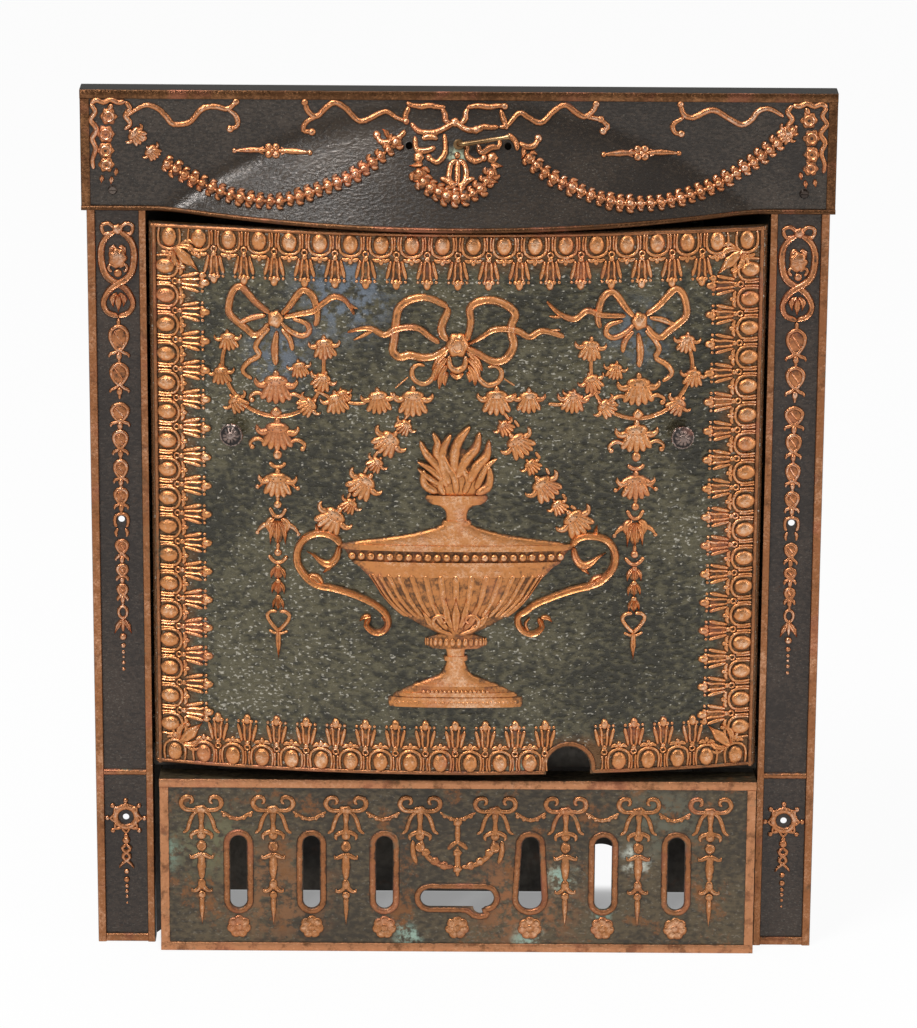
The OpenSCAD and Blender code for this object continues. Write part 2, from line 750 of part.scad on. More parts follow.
module shell_rivets() color(black_iron) set_back() both_sides() {
    side_rivet_places() rivet(rivet_d, sheet + plate);
    seam_rivet_places() rivet(rivet_d, 2 * plate);
}

module rail_rivets() color(black_iron) set_back() {
    both_sides() rail_end_place() rivet(rivet_d, plate + sheet + plate);
    back_rail_places() rivet(rivet_d, 2 * plate);
}

// Basket

module basket_front() color(black_iron) set_back() {
    both_sides() translate([post_x, post_y, rail_top]) {
        cylinder(d = post_d, h = basket_h);
        translate([0, 0, basket_h]) sphere(d = post_d * 1.1);
    }
    for (i = [1:bar_count])
        translate([0, basket_cy, rail_top + i * basket_h / (bar_count + 0.5)])
            rotate([0, 0, -90 - basket_turn])
                rotate_extrude(angle = 2 * basket_turn, $fn = fine)
                    translate([basket_r, 0]) circle(d = bar_d, $fn = 32);
}

module basket_end() {
    low = basket_h * 0.82;
    translate([basket_x0, 0, rail_top]) rotate([90, 0, 90]) linear_extrude(end_t)
        polygon([[end_y0, 0], [end_y1, 0], [end_y1, basket_h], [end_y0 + 30, basket_h], [end_y0, low]]);
    translate([basket_x0 + end_t - cut, end_y0, rail_top])
        cube([end_foot - end_t + cut, end_y1 - end_y0 - end_foot, end_t]);
}

module right_basket_end() color(black_iron) set_back() basket_end();
module left_basket_end() color(black_iron) set_back() mirror([1, 0, 0]) basket_end();

// Summer cover

// Part of the bowed sheet between two distances in front of its outer surface
module bowed(inner, outer, x0, x1, z0, z1) intersection() {
    translate([0, cover_cy, z0]) difference() {
        cylinder(r = cover_r + outer, h = z1 - z0, $fn = fine);
        translate([0, 0, -cut]) cylinder(r = cover_r + inner, h = z1 - z0 + 2 * cut, $fn = fine);
    }
    translate([x0, -cover_bow - cover_stand - 2 * cover_line_h - urn_relief, z0 - cut])
        cube([x1 - x0, cover_bow + cover_stand + 2 * cover_line_h + urn_relief + skirt_d, z1 - z0 + 2 * cut]);
}

// Raised frame whose outer edge lies this far inside the cover's edge
module bowed_frame(height, inset, width) difference() {
    bowed(-sheet / 2, height, -cover_half + inset, cover_half - inset, cover_z0 + inset, cover_z1 - inset);
    translate([-cover_half + inset + width, -front_reach, cover_z0 + inset + width])
        cube([
            2 * (cover_half - inset - width), 2 * front_reach,
            cover_z1 - cover_z0 - 2 * (inset + width)
        ]);
}

// Point beside the bow at x: s along the sheet and d behind its outer surface
function bow_point(x, s, d) =
    let (a = asin(x / cover_r))
    [(cover_r - d) * sin(a) + s * cos(a), cover_cy - (cover_r - d) * cos(a) + s * sin(a)];

module on_bow(x) translate([0, cover_cy, 0]) rotate([0, 0, asin(x / cover_r)]) translate([0, -cover_r, 0]) children();

// Half outline of the urn, foot to flames, as shares of its width and height
urn_side = [
    [0.33, 0], [0.33, 0.05], [0.18, 0.09], [0.07, 0.13], [0.07, 0.2], [0.14, 0.22], [0.14, 0.25],
    [0.3, 0.32], [0.44, 0.41], [0.5, 0.48], [0.5, 0.53], [0.32, 0.57], [0.1, 0.62], [0.07, 0.69],
    [0.16, 0.72], [0.16, 0.76], [0.2, 0.88], [0.12, 0.92], [0.07, 1]
];

module urn() intersection() {
    bowed(-sheet / 2, urn_relief, -urn_w, urn_w, cover_z0 + urn_up - cut, cover_z0 + urn_up + urn_h + cut);
    translate([0, 0, cover_z0 + urn_up]) rotate([90, 0, 0]) linear_extrude(front_reach)
        polygon(concat(
            [for (p = urn_side) [p[0] * urn_w, p[1] * urn_h]],
            [for (i = [len(urn_side) - 1:-1:0]) [-urn_side[i][0] * urn_w, urn_side[i][1] * urn_h]]
        ));
}

// Boss on the cover, square to its bow, b above the cover's middle height
module cover_boss(x, b, d) on_bow(x) translate([0, 0, (cover_z0 + cover_z1) / 2 + b])
    rotate([90, 0, 0]) translate([0, 0, -sheet / 2]) cylinder(d1 = d, d2 = 0.6 * d, h = garland_h + sheet / 2);

// Ribbon loop on the cover
module cover_loop(x, b, r) on_bow(x) translate([0, 0, (cover_z0 + cover_z1) / 2 + b])
    rotate([90, 0, 0]) translate([0, 0, -sheet / 2]) difference() {
        cylinder(r = r + ribbon_w / 2, h = garland_h + sheet / 2);
        translate([0, 0, -cut]) cylinder(r = r - ribbon_w / 2, h = garland_h + sheet + 2 * cut);
    }

// Straight piece of ribbon on the cover from its middle, turned by a
module cover_ribbon(x, b, l, a) on_bow(x) translate([0, 0, (cover_z0 + cover_z1) / 2 + b]) rotate([0, a, 0])
    translate([-l / 2, -garland_h, -ribbon_w / 4]) cube([l, garland_h + sheet / 2, ribbon_w / 2]);

// Bow with its two loops, its knot and a ribbon to each side
module cover_bow_knot(x, r, reach) {
    for (s = [-1, 1]) {
        cover_loop(x + s * 1.2 * r, bow_up + 0.1 * r, r);
        cover_ribbon(x + s * (2.2 * r + ribbon_w / 2 + reach / 2), bow_up + 0.3 * r, reach, -8 * s);
    }
    cover_boss(x, bow_up, 0.8 * r);
}

// Garland of one side: level, slanting, round and hanging parts
module side_garland() {
    for (i = [0:2]) cover_boss((i + 0.9) * level_step, level_up, 0.9 * flower_d);
    for (i = [0:5])
        cover_boss(1.3 * level_step + 0.75 * slant_step * i, level_up - 1.4 * slant_step - slant_step * i,
            i % 2 == 0 ? 0.6 * flower_d : flower_d);
    for (i = [0:6]) let (a = 170 + 33 * i)
        cover_boss(bow_x + wreath_w * cos(a), level_up + 0.7 * wreath_w + 1.07 * wreath_w * sin(a), 0.66 * flower_d);
    for (i = [0:3]) cover_boss(bow_x, level_up + 9 - drop_step * i, 1.15 * flower_d);
    for (i = [1:2]) cover_boss(bow_x, level_up - 11 - drop_step * i, 0.35 * flower_d);
    for (i = [0:2]) cover_boss(bow_x, level_up - 3.63 * drop_step - 0.6 * flower_d * i, 0.5 * flower_d);
    cover_loop(bow_x, level_up - 4.7 * drop_step, 1.2 * ribbon_w);
    cover_ribbon(bow_x, level_up - 5.17 * drop_step, 0.58 * drop_step, 90);
}

// The urn's handle
module urn_handle() cover_loop(0.58 * urn_w, cover_z0 + urn_up + 0.46 * urn_h - (cover_z0 + cover_z1) / 2, 0.1 * urn_w);

module cover_panel() color(dark_copper) set_back() difference() {
    skirt_in = [cover_half - sheet, bow_point(cover_half, 0, 0)[1] + sheet / 2];
    skirt_out = [cover_half + skirt_spread, skirt_in[1] + skirt_d];
    union() {
        bowed(-sheet, 0, -cover_half, cover_half, cover_z0, cover_z1);
        bowed_frame(cover_line_h, 0, cover_line_w);
        bowed_frame(border_h, 2 * cover_line_w, border_w);
        bowed(-skirt_d, -sheet / 2, -cover_half, cover_half, cover_z0, cover_z0 + sheet);
        bowed(-skirt_d, -sheet / 2, -cover_half, cover_half, cover_z1 - sheet, cover_z1);
        both_sides() translate([0, 0, cover_z0]) linear_extrude(cover_z1 - cover_z0)
            polygon(strip([skirt_in, skirt_out], sheet));
        urn();
        cover_bow_knot(0, big_loop_r, ribbon_l);
        both_sides() {
            cover_bow_knot(bow_x, small_loop_r, ribbon_w);
            side_garland();
            urn_handle();
        }
        intersection() {
            bowed(-sheet / 2, cover_line_h, 0, cover_half, cover_z0, cover_z1);
            translate([notch_x, -front_reach, cover_z0 + notch_up]) bar_y(2 * (notch_r + notch_line), front_reach);
        }
    }
    translate([notch_x, -front_reach, cover_z0 + notch_up]) bar_y(2 * notch_r, front_reach + cut);
    translate([notch_x - notch_r, -front_reach, cover_z0 - cut]) cube([2 * notch_r, front_reach + cut, notch_up + cut]);
    both_sides() on_bow(knob_x) translate([0, -cut - cover_line_h, knob_z])
        bar_y(stud_d + 2 * stud_clear, sheet + 2 * cut + cover_line_h);
}

module knob() on_bow(knob_x) translate([0, 0, knob_z]) rotate([90, 0, 0]) {
    cylinder(d = 0.5 * knob_d, h = 0.45 * knob_l);
    translate([0, 0, 0.3 * knob_l]) cylinder(d1 = 0.6 * knob_d, d2 = knob_d, h = 0.25 * knob_l);
    translate([0, 0, 0.55 * knob_l]) cylinder(d = knob_d, h = 0.2 * knob_l);
    translate([0, 0, 0.75 * knob_l]) cylinder(d1 = knob_d, d2 = 0.5 * knob_d, h = 0.25 * knob_l);
    translate([0, 0, -sheet - nut_h - cut]) cylinder(d = stud_d, h = sheet + nut_h + 2 * cut);
}

module right_knob() color(dark_copper) set_back() knob();
module left_knob() color(dark_copper) set_back() mirror([1, 0, 0]) knob();

module knob_nuts() color(bright_steel) set_back() both_sides()
    on_bow(knob_x) translate([0, sheet + nut_fit, knob_z]) rotate([-90, 0, 0]) difference() {
        cylinder(d = nut_d, h = nut_h, $fn = 6);
        translate([0, 0, -cut]) cylinder(d = stud_d + 2 * stud_clear, h = nut_h + 2 * cut);
    }

module cover_braces() color(black_iron) set_back() both_sides() on_bow(brace_x) difference() {
    translate([-brace_w / 2, sheet + brace_fit, cover_z0 + brace_end])
        cube([brace_w, brace_t, cover_z1 - cover_z0 - 2 * brace_end]);
    clip_rivet_places() rivet_cut(brace_t);
}

module clip_rivet_places() {
    for (z = clip_ups)
        translate([0, sheet + brace_fit, cover_z0 + z]) rotate([-90, 0, 0]) children();
}

module cover_clips() color(bright_steel) set_back() both_sides() difference() {
    depth = sheet + brace_fit + brace_t;
    touch = [pil_x0 - clip_gap, cover_stand - 2];
    path = [
        bow_point(brace_x, -0.4 * brace_w, depth),
        bow_point(brace_x, 0.4 * brace_w, depth),
        touch,
        touch + [-3, 9]
    ];
    for (z = clip_ups)
        translate([0, 0, cover_z0 + z - clip_h / 2]) linear_extrude(clip_h) polygon(strip(path, clip_t));
    on_bow(brace_x) clip_rivet_places() rivet_cut(brace_t + clip_t);
}

module clip_rivets() color(bright_steel) set_back() both_sides()
    on_bow(brace_x) clip_rivet_places() rivet(rivet_d, brace_t + clip_t, first = false);

// Ash front

// Upright slot with round ends, its lower end at the origin
module upright_slot(w, h) {
    translate([-w / 2, w / 2]) square([w, h - w]);
    for (y = [w / 2, h - w / 2]) translate([0, y]) circle(d = w);
}

// The slot that widens towards its foot
module wide_foot_slot(w, h, foot) {
    translate([0, foot / 2]) circle(d = foot);
    translate([0, h - w / 2]) circle(d = w);
    polygon([[-foot / 2, foot / 2], [foot / 2, foot / 2], [w / 2, h - w / 2], [-w / 2, h - w / 2]]);
}

module vents(grow) {
    for (k = [-3, -2, -1, 1, 2, 3]) translate([ash_mid + k * vent_pitch, vent_z - grow])
        if (k == 1 && grow == 0) wide_foot_slot(vent_w, vent_h, wide_vent_w);
        else upright_slot(vent_w + 2 * grow, vent_h + 2 * grow);
    translate([ash_mid + slot_w / 2 + grow, slot_z]) rotate([0, 0, 90])
        upright_slot(slot_h + 2 * grow, slot_w + 2 * grow);
}

module ash_front() color(copper) set_back() difference() {
    w = ash_x1 - ash_x0;
    skin_t = ash_recess + sheet;
    union() {
        difference() {
            translate([ash_x0, -ash_stand, 0]) cube([w, ash_stand + ash_reach, ash_h]);
            translate([ash_x0 + ash_rim, -ash_stand - cut, ash_rim])
                cube([w - 2 * ash_rim, ash_recess + cut, ash_h - 2 * ash_rim]);
            translate([ash_x0 + sheet, -ash_stand + skin_t, -cut])
                cube([w - 2 * sheet, ash_stand + ash_reach, ash_h - sheet + cut]);
            translate([ash_x0 + sheet, -ash_stand + ash_flange, ash_h - 2 * sheet])
                cube([w - 2 * sheet, ash_stand + ash_reach, 3 * sheet]);
        }
        translate([0, -ash_stand + skin_t - sheet / 2, 0]) rotate([90, 0, 0])
            linear_extrude(skin_t - sheet / 2) vents(vent_line);
    }
    translate([0, cut, 0]) rotate([90, 0, 0]) linear_extrude(ash_stand + 2 * cut) {
        vents(0);
        translate([ash_mid + slot_notch_x, slot_z - slot_h / 2]) circle(r = slot_notch_r);
    }
}

// Damper

module at_rod() translate([0, 0, rod_z]) rotate([0, -handle_rest, 0]) children();

handle_y = -hood_y(0, rod_z) - sheet - handle_stand;
damper_r = collar_d / 2 - collar_t - damper_gap;
pin_d = 2.5;

module damper_rivet_places() {
    for (s = [-1, 1]) translate([0, collar_y + s * damper_rivet_y, -rod_d / 2]) children();
}

module damper_rod() color(bright_steel) set_back() at_rod() difference() {
    union() {
        translate([0, handle_y, 0]) bar_y(rod_d, collar_y + collar_d / 2 + rod_end - handle_y);
        translate([0, handle_y, 0]) sphere(d = rod_d);
        translate([0, handle_y, 0]) bar_x(rod_d, handle_l);
        translate([handle_l, handle_y, 0]) sphere(d = rod_d);
    }
    damper_rivet_places() translate([0, 0, -cut]) cylinder(d = pin_d + 2 * rivet_clear, h = rod_d + 2 * cut);
}

module damper_plate() color(black_iron) set_back() at_rod() difference() {
    translate([0, collar_y, rod_d / 2]) cylinder(r = damper_r, h = damper_t);
    damper_rivet_places() cylinder(d = pin_d + 2 * rivet_clear, h = rod_d + damper_t + cut);
}

module damper_rivets() color(black_iron) set_back() at_rod() damper_rivet_places()
    rivet(pin_d, rod_d + damper_t);

// Shaking grate

module shaker_grate() color(black_iron) set_back() difference() {
    intersection() {
        translate([-grate_half, post_y - basket_bow, grate_z])
            cube([2 * grate_half, end_y1 - post_y + basket_bow, grate_t]);
        translate([0, basket_cy, grate_z])
            cylinder(r = basket_r - bar_d / 2 - grate_gap, h = grate_t, $fn = fine);
    }
    for (i = [-grate_slots:grate_slots - 1])
        translate([(i + 0.5) * slot_pitch - grate_slot / 2, post_y, grate_z - cut])
            cube([grate_slot, end_y1 - post_y - 14, grate_t + 2 * cut]);
    arm_rivet_places() rivet_cut(arm_t + grate_t);
}

module arm_rivet_places() {
    for (y = arm_rivet_y) translate([0, y, grate_z - arm_t]) children();
}

module shaker_arm() color(black_iron) set_back() difference() {
    union() {
        translate([-arm_w / 2, arm_y, grate_z - arm_t]) cube([arm_w, arm_rivet_y[1] + rivet_d * 1.5 - arm_y, arm_t]);
        translate([-arm_w / 2, arm_y, eye_z]) cube([arm_w, arm_t, grate_z - eye_z]);
        translate([0, arm_y, eye_z]) bar_y(1.2 * arm_w, arm_t);
    }
    translate([0, arm_y - cut, eye_z]) bar_y(eye_d, arm_t + 2 * cut);
    arm_rivet_places() rivet_cut(arm_t);
}

module arm_rivets() color(black_iron) set_back() arm_rivet_places() rivet(rivet_d, arm_t + grate_t);

left_pilaster();
right_pilaster();
hood();
hood_screws();
hood_nuts();
left_cheek();
right_cheek();
back_plate();
top_plate();
flue_collar();
front_rail();
back_rail();
shell_rivets();
rail_rivets();
collar_rivets();
basket_front();
left_basket_end();
right_basket_end();
cover_panel();
left_knob();
right_knob();
knob_nuts();
cover_braces();
cover_clips();
clip_rivets();
ash_front();
damper_rod();
damper_plate();
damper_rivets();
shaker_grate();
shaker_arm();
arm_rivets();
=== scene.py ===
# %% [markdown]
# This script dresses a fireplace insert: pressed and copper-plated sheet over an iron firebox, with a
# bowed summer cover that lifts away. The solids give every place and size. Here the pressed sheets are
# made again with fine ornament, and every surface gets its finish.
# %% Load the solids as a fixed frame
import math
import bmesh
import bpy
import numpy as np
from mathutils import Matrix, Vector
from mathutils.geometry import delaunay_2d_cdt


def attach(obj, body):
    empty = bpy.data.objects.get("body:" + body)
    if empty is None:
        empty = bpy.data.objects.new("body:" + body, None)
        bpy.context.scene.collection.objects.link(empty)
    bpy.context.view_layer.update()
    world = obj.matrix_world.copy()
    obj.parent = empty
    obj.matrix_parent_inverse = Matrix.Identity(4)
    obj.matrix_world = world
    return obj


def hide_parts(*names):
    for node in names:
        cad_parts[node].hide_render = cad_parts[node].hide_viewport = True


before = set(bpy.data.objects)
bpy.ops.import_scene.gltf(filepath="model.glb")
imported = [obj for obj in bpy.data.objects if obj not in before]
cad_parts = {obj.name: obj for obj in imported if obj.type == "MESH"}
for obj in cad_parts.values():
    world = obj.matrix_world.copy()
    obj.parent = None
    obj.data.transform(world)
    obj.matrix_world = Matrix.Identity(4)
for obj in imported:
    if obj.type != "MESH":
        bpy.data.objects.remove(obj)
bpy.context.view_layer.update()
# %% [markdown]
# Ornament is easiest to design flat, in millimetres, as if the sheet were unrolled: u across, v up and
# h the height above the sheet. One function for each sheet then lays those points on its real surface.
# The cover is part of a cylinder, the hood swells forward from flat ends, the others are flat. The sizes
# that more than one step needs are named here.
# %% Places on the four pressed fronts
# A millimetre in metres, the sheets' thickness, and the pilasters' face in the frame.
MM = 0.001
WALL = 1.2
FACE_Y = -41.125
# The cover: its bow's radius and centre, half its width, its foot and its top.
BOW_R, BOW_Y = 1107.27, 1069.27
HALF_W, LOW, HIGH = 256.0, 170.5, 648.5
# The hood: half its width, the foot of its ends, its top, and the height of the damper's rod.
HOOD_HALF, HOOD_FOOT, HOOD_TOP, ROD_Z = 315.0, 661.0, 760.0, 719.0
# The hood's swelling: its depth at the lip, half its width, where it starts, the lip, and its eased edge.
SWELL, SWELL_HALF, SWELL_TOP, LIP_Z, EASE = 46.5, 250.0, 745.0, 652.25, 6.0
# A pilaster: how deep its panel is sunk, the panel's two edges, its middle line and its top.
PANEL_Y, PANEL_IN, PANEL_OUT, PILASTER_MID, PILASTER_TOP = 2.5, 267.0, 304.0, 285.5, 717.0
# The ash front: its face, its two sides, its middle line and its top.
ASH_Y, ASH_LEFT, ASH_RIGHT, ASH_MID, ASH_TOP = -18.4, -255.0, 260.0, 2.5, 158.8


def row(x, y, z):
    """Millimetres from the pilasters' face, as metres in the frame."""
    x, y, z = np.broadcast_arrays(np.asarray(x, float), y, z)
    return np.stack([x, y + FACE_Y, z], -1) * MM


def on_cover(x, z, h=0.0):
    s = x / BOW_R
    return row(x + h * s, BOW_Y - (BOW_R + h) * np.sqrt(1 - s * s), z)


def hood_out(x, z):
    """How far the hood's sheet swells forward at x and z."""
    u = SWELL * ((SWELL_TOP - z) / (SWELL_TOP - LIP_Z) - (x / SWELL_HALF) ** 2)
    return np.where(u <= -EASE, 0.0, np.where(u >= EASE, u, (u + EASE) ** 2 / (4 * EASE)))


def on_hood(x, z, h=0.0):
    x, z, h = np.broadcast_arrays(np.asarray(x, float), z, h)
    gx = -(hood_out(x + 0.5, z) - hood_out(x - 0.5, z))
    gz = -(hood_out(x, z + 0.5) - hood_out(x, z - 0.5))
    n = np.sqrt(gx * gx + gz * gz + 1)
    return row(x + h * gx / n, -hood_out(x, z) - WALL - h / n, z + h * gz / n)


def on_pilaster(x, z, h=0.0):
    return row(x, PANEL_Y - h, z)


def on_ash(x, z, h=0.0):
    return row(x, ASH_Y - h, z)


print("cover stands", round(float(-on_cover(0.0, 400.0)[1] * 1000 + FACE_Y), 1), "mm forward at its middle")
# %% [markdown]
# A finish is written as sums. A small class holds one output of a shader node, and its operators add
# Math nodes, so 1 - wear reads as it would on paper. Colours go through Mix nodes, since Math turns
# them grey.
# %% Sums on shader sockets
class Wire:
    def __init__(self, tree, socket):
        self.tree = tree
        self.socket = socket

    def sum(self, op, a, b):
        node = self.tree.nodes.new("ShaderNodeMath")
        node.operation = op
        for slot, value in zip(node.inputs, (a, b)):
            if isinstance(value, Wire):
                self.tree.links.new(value.socket, slot)
            else:
                slot.default_value = value
        return Wire(self.tree, node.outputs[0])

    def maths(op, swapped=False):
        return lambda self, other: self.sum(op, other, self) if swapped else self.sum(op, self, other)

    __add__, __radd__ = maths("ADD"), maths("ADD", True)
    __sub__, __rsub__ = maths("SUBTRACT"), maths("SUBTRACT", True)
    __mul__, __rmul__ = maths("MULTIPLY"), maths("MULTIPLY", True)
    most, least = maths("MAXIMUM"), maths("MINIMUM")

    def size(self):
        return self.sum("ABSOLUTE", self, 0.0)


# %% [markdown]
# Every new material comes with a shader that covers metals and lacquers alike. A finish wraps it: one
# method adds any node, the others name what is used again and again, such as noise, a ramp from one
# value to another, a mix of two colours, a spot on the sheet and a bump.
# %% A finish and its nodes
class Finish:
    """One material: its tree, its shader and the nodes that its finish is made of."""

    def __init__(self, name):
        self.material = bpy.data.materials.new(name)
        self.material.use_nodes = True
        self.tree = self.material.node_tree
        self.shader = self.tree.nodes["Principled BSDF"]
        place = self.tree.nodes.new("ShaderNodeTexCoord")
        self.place = Wire(self.tree, place.outputs["Object"])

    def node(self, kind, settings, out=0, **sockets):
        node = self.tree.nodes.new(kind)
        for key, value in settings.items():
            setattr(node, key, value)
        for key, value in sockets.items():
            slot = node.inputs[int(key[1:])] if key[0] == "i" and key[1:].isdigit() else node.inputs[key]
            if isinstance(value, Wire):
                self.tree.links.new(value.socket, slot)
            else:
                slot.default_value = value
        return Wire(self.tree, node.outputs[out])

    def noise(self, scale, detail=4.0, rough=0.6, vector=None):
        return self.node("ShaderNodeTexNoise", {}, Vector=vector or self.place, Scale=scale, Detail=detail,
                         Roughness=rough)

    def ramp(self, value, low, high, start=0.0, end=1.0):
        """Value from low to high, stretched from start to end with eased ends."""
        sockets = {"Value": value, "From Min": low, "From Max": high, "To Min": start, "To Max": end}
        return self.node("ShaderNodeMapRange", {"interpolation_type": "SMOOTHSTEP"}, **sockets)

    def mix(self, factor, first, second):
        return self.node("ShaderNodeMix", {"data_type": "RGBA"}, 2, i0=factor, i6=first, i7=second)

    def spot(self, x, y, z, size):
        """1 at a place on the sheet, falling to 0 at the given distance, all in millimetres."""
        far = self.node("ShaderNodeVectorMath", {"operation": "DISTANCE"}, 1, i0=self.place,
                        i1=(x * MM, (y + FACE_Y) * MM, z * MM))
        return self.ramp(far + self.noise(90) * 0.02, 0.2 * size * MM + 0.01, size * MM + 0.01, 1.0, 0.0)

    def attribute(self, name):
        return self.node("ShaderNodeAttribute", {"attribute_name": name}, 2)

    def bump(self, height, depth, strength=1.0):
        return self.node("ShaderNodeBump", {}, Height=height, Distance=depth * MM, Strength=strength)

    def paint(self, **inputs):
        for key, value in inputs.items():
            slot = self.shader.inputs[key.replace("_", " ")]
            if isinstance(value, Wire):
                self.tree.links.new(value.socket, slot)
            else:
                slot.default_value = value
        return self.material


def tint(red, green, blue):
    """A colour as seen on a screen, 0 to 255, as the shader's linear values."""
    parts = [c / 255 for c in (red, green, blue)]
    return tuple(c / 12.92 if c <= 0.04045 else ((c + 0.055) / 1.055) ** 2.4 for c in parts) + (1.0,)


print("a mid copper is", [round(c, 3) for c in tint(186, 124, 76)])
# %% [markdown]
# Raised ornament here is chased and pressed copper plate: the tops are rubbed bright, the hollows have
# kept their brown lacquer and soot. Each ornament carries a value called rise, 0 at its foot and 1 on
# its crest, and the finish goes from dark to bright with it, so the dark feet are partly painted shade
# and the bright crests partly painted highlight. Noise breaks the change so that the wear looks chance.
# %% The copper finishes
def worn_shaded_copper(name, dark, middle, bright, shine=0.28, green=0.25, base_rise=0.0, tarnish=0.15):
    make = Finish(name)
    rise = make.attribute("rise")
    broad = make.noise(14, 3)
    patch = make.noise(130, 5, 0.62)
    fine = make.noise(430, 4)
    # Dark to middle: a low rise darkens the feet as painted shade, and the noise adds wear.
    wear_and_shade = rise * 0.85 + (broad - 0.5) * 0.5 + (patch - 0.5) * 1.5 + (fine - 0.5) * 0.9 + (0.04 + base_rise)
    colour = make.mix(make.ramp(wear_and_shade, 0.12, 0.6), tint(*dark), tint(*middle))
    # Middle to bright: a high rise gives the crests a pale painted highlight, broken by noise as wear.
    polish_and_highlight = rise * 0.85 + (broad - 0.5) * 0.6 + (patch - 0.5) * 0.7 + (fine - 0.5) * 0.9 + (0.04 + base_rise)
    colour = make.mix(make.ramp(polish_and_highlight, 0.72, 1.3, 0.0, 0.8), colour, tint(*bright))
    if tarnish:
        colour = make.mix(make.ramp(make.noise(48, 7, 0.72), 0.5, 0.64, 0.0, tarnish), colour, tint(*dark))
    stain = make.ramp(make.noise(34, 6, 0.7), 0.54, 0.68) * (1 - make.ramp(wear_and_shade, 0.3, 0.9)) * green
    colour = make.mix(stain, colour, tint(118, 136, 116))
    blush = make.ramp(make.noise(24, 3), 0.52, 0.68, 0.0, 0.3)
    colour = make.mix(blush, colour, tint(200, 122, 96))
    rough = make.ramp(wear_and_shade, 0.1, 1.0, shine + 0.24, shine - 0.04) + (fine - 0.5) * 0.2
    metal = make.ramp(wear_and_shade, 0.05, 0.6, 0.4, 0.95)
    dents = make.bump(fine * 1.2 + patch, 0.6, 0.7)
    return make.paint(Base_Color=colour, Roughness=rough, Metallic=metal, Normal=dents)


cover_copper = worn_shaded_copper("cover_copper", (78, 55, 36), (206, 138, 86), (255, 224, 194))
bowl_copper = worn_shaded_copper("bowl_copper", (98, 66, 42), (206, 138, 84), (254, 214, 180), 0.3, 0.08)
hood_copper = worn_shaded_copper("hood_copper", (62, 42, 29), (190, 124, 80), (255, 224, 198), 0.22, 0.08)
side_copper = worn_shaded_copper("side_copper", (62, 42, 30), (186, 122, 80), (255, 222, 196), 0.22, 0.08)
ash_copper = worn_shaded_copper("ash_copper", (76, 56, 40), (178, 118, 74), (255, 206, 168), 0.26, 0.4, 0.0, 0.4)
frame_copper = worn_shaded_copper("frame_copper", (80, 56, 36), (196, 136, 96), (244, 190, 152), 0.34, 0.5, -0.16, 0.7)
rim_copper = worn_shaded_copper("rim_copper", (50, 35, 23), (90, 60, 38), (172, 120, 80), 0.28, 0.1, 0.0, 0.4)
pink_copper = worn_shaded_copper("pink_copper", (68, 46, 32), (158, 104, 68), (238, 184, 146), 0.3, 0.35, -0.1, 0.5)
knob_bronze = worn_shaded_copper("knob_bronze", (34, 28, 26), (134, 116, 108), (244, 228, 220), 0.18, 0.0, -0.02, 0.0)
print("copper finishes:", [m.name for m in bpy.data.materials if m.name.endswith("copper")])
# %% [markdown]
# The ground between the ornaments is the same plate under dark bronze lacquer, lightly stippled so
# that it glints, with pale flecks in its colour as painted glints. It is dull iron-brown on the hood and
# pilasters, olive on the cover, and browner with green corrosion on the ash front, which stood nearest
# to the hearth's damp.
# %% The dark grounds
def lacquered_ground(name, deep, pale, worn, grain, sheen, depth, glints, spots=(), wear_at=0.62,
                     band=None, painted_shade_from=None):
    """Band is the width of a border worn to brown; above the height given last, the top is painted dark and dull as
    painted shade; all in millimetres.
    """
    make = Finish(name)
    broad = make.noise(11, 4)
    drawn = make.node("ShaderNodeVectorMath", {"operation": "MULTIPLY"}, i0=make.place, i1=(0.6, 1.0, 1.0))
    cells = make.node("ShaderNodeTexVoronoi", {"feature": "SMOOTH_F1"}, Vector=drawn, Scale=grain)
    fine = make.noise(grain * 1.2, 3, 0.55, drawn)
    colour = make.mix(make.ramp(broad + (fine - 0.5) * 1.2, 0.3, 0.72), tint(*deep), tint(*pale))
    rubbed = make.ramp(make.noise(30, 7, 0.75), wear_at, wear_at + 0.12, 0.0, 0.75)
    if band:
        x = make.node("ShaderNodeSeparateXYZ", {}, 0, i0=make.place)
        z = make.node("ShaderNodeSeparateXYZ", {}, 2, i0=make.place)
        from_end = (HIGH - LOW) / 2 * MM - (z - (HIGH + LOW) / 2 * MM).size()
        inset = (HALF_W * MM - x.size()).least(from_end)
        inset = inset + (make.noise(60, 3) - 0.5) * 0.02
        rubbed = rubbed.most(make.ramp(inset, band * 0.75 * MM, band * 1.25 * MM, 0.85, 0.0))
    colour = make.mix(rubbed, colour, tint(*worn))
    # Pale flecks in the colour: painted glints, as painted highlights on the stipple.
    painted_glints = make.ramp(make.noise(grain * 2.3, 2, 0.5, drawn) + (broad - 0.5) * 0.3, 0.63, 0.7, 0.0, glints)
    colour = make.mix(painted_glints, colour, tint(196, 190, 176))
    crust = make.ramp(make.noise(110, 6, 0.65), 0.42, 0.58)
    for x, y, z, size, shade in spots:
        colour = make.mix(make.spot(x, y, z, size) * crust, colour, tint(*shade))
    rough = make.ramp(fine, 0.3, 0.75, sheen + 0.1, sheen - 0.06)
    # Above the given height the top flange is painted dark and made dull: painted shade on the top, which faces the
    # lamp over it.
    if painted_shade_from:
        up = make.node("ShaderNodeSeparateXYZ", {}, 2, i0=make.place)
        top_shade = make.ramp(up, (painted_shade_from - 0.3) * MM, painted_shade_from * MM)
        colour = make.mix(top_shade, colour, tint(28, 25, 20))
        rough = rough.most(top_shade * 0.9)
    relief = make.bump(cells * 0.5 + fine * 1.1 + broad * 2.0, depth, 0.9)
    return make.paint(Base_Color=colour, Roughness=rough, Metallic=0.35 + rubbed * 0.4, Normal=relief,
                      Specular_IOR_Level=0.7)


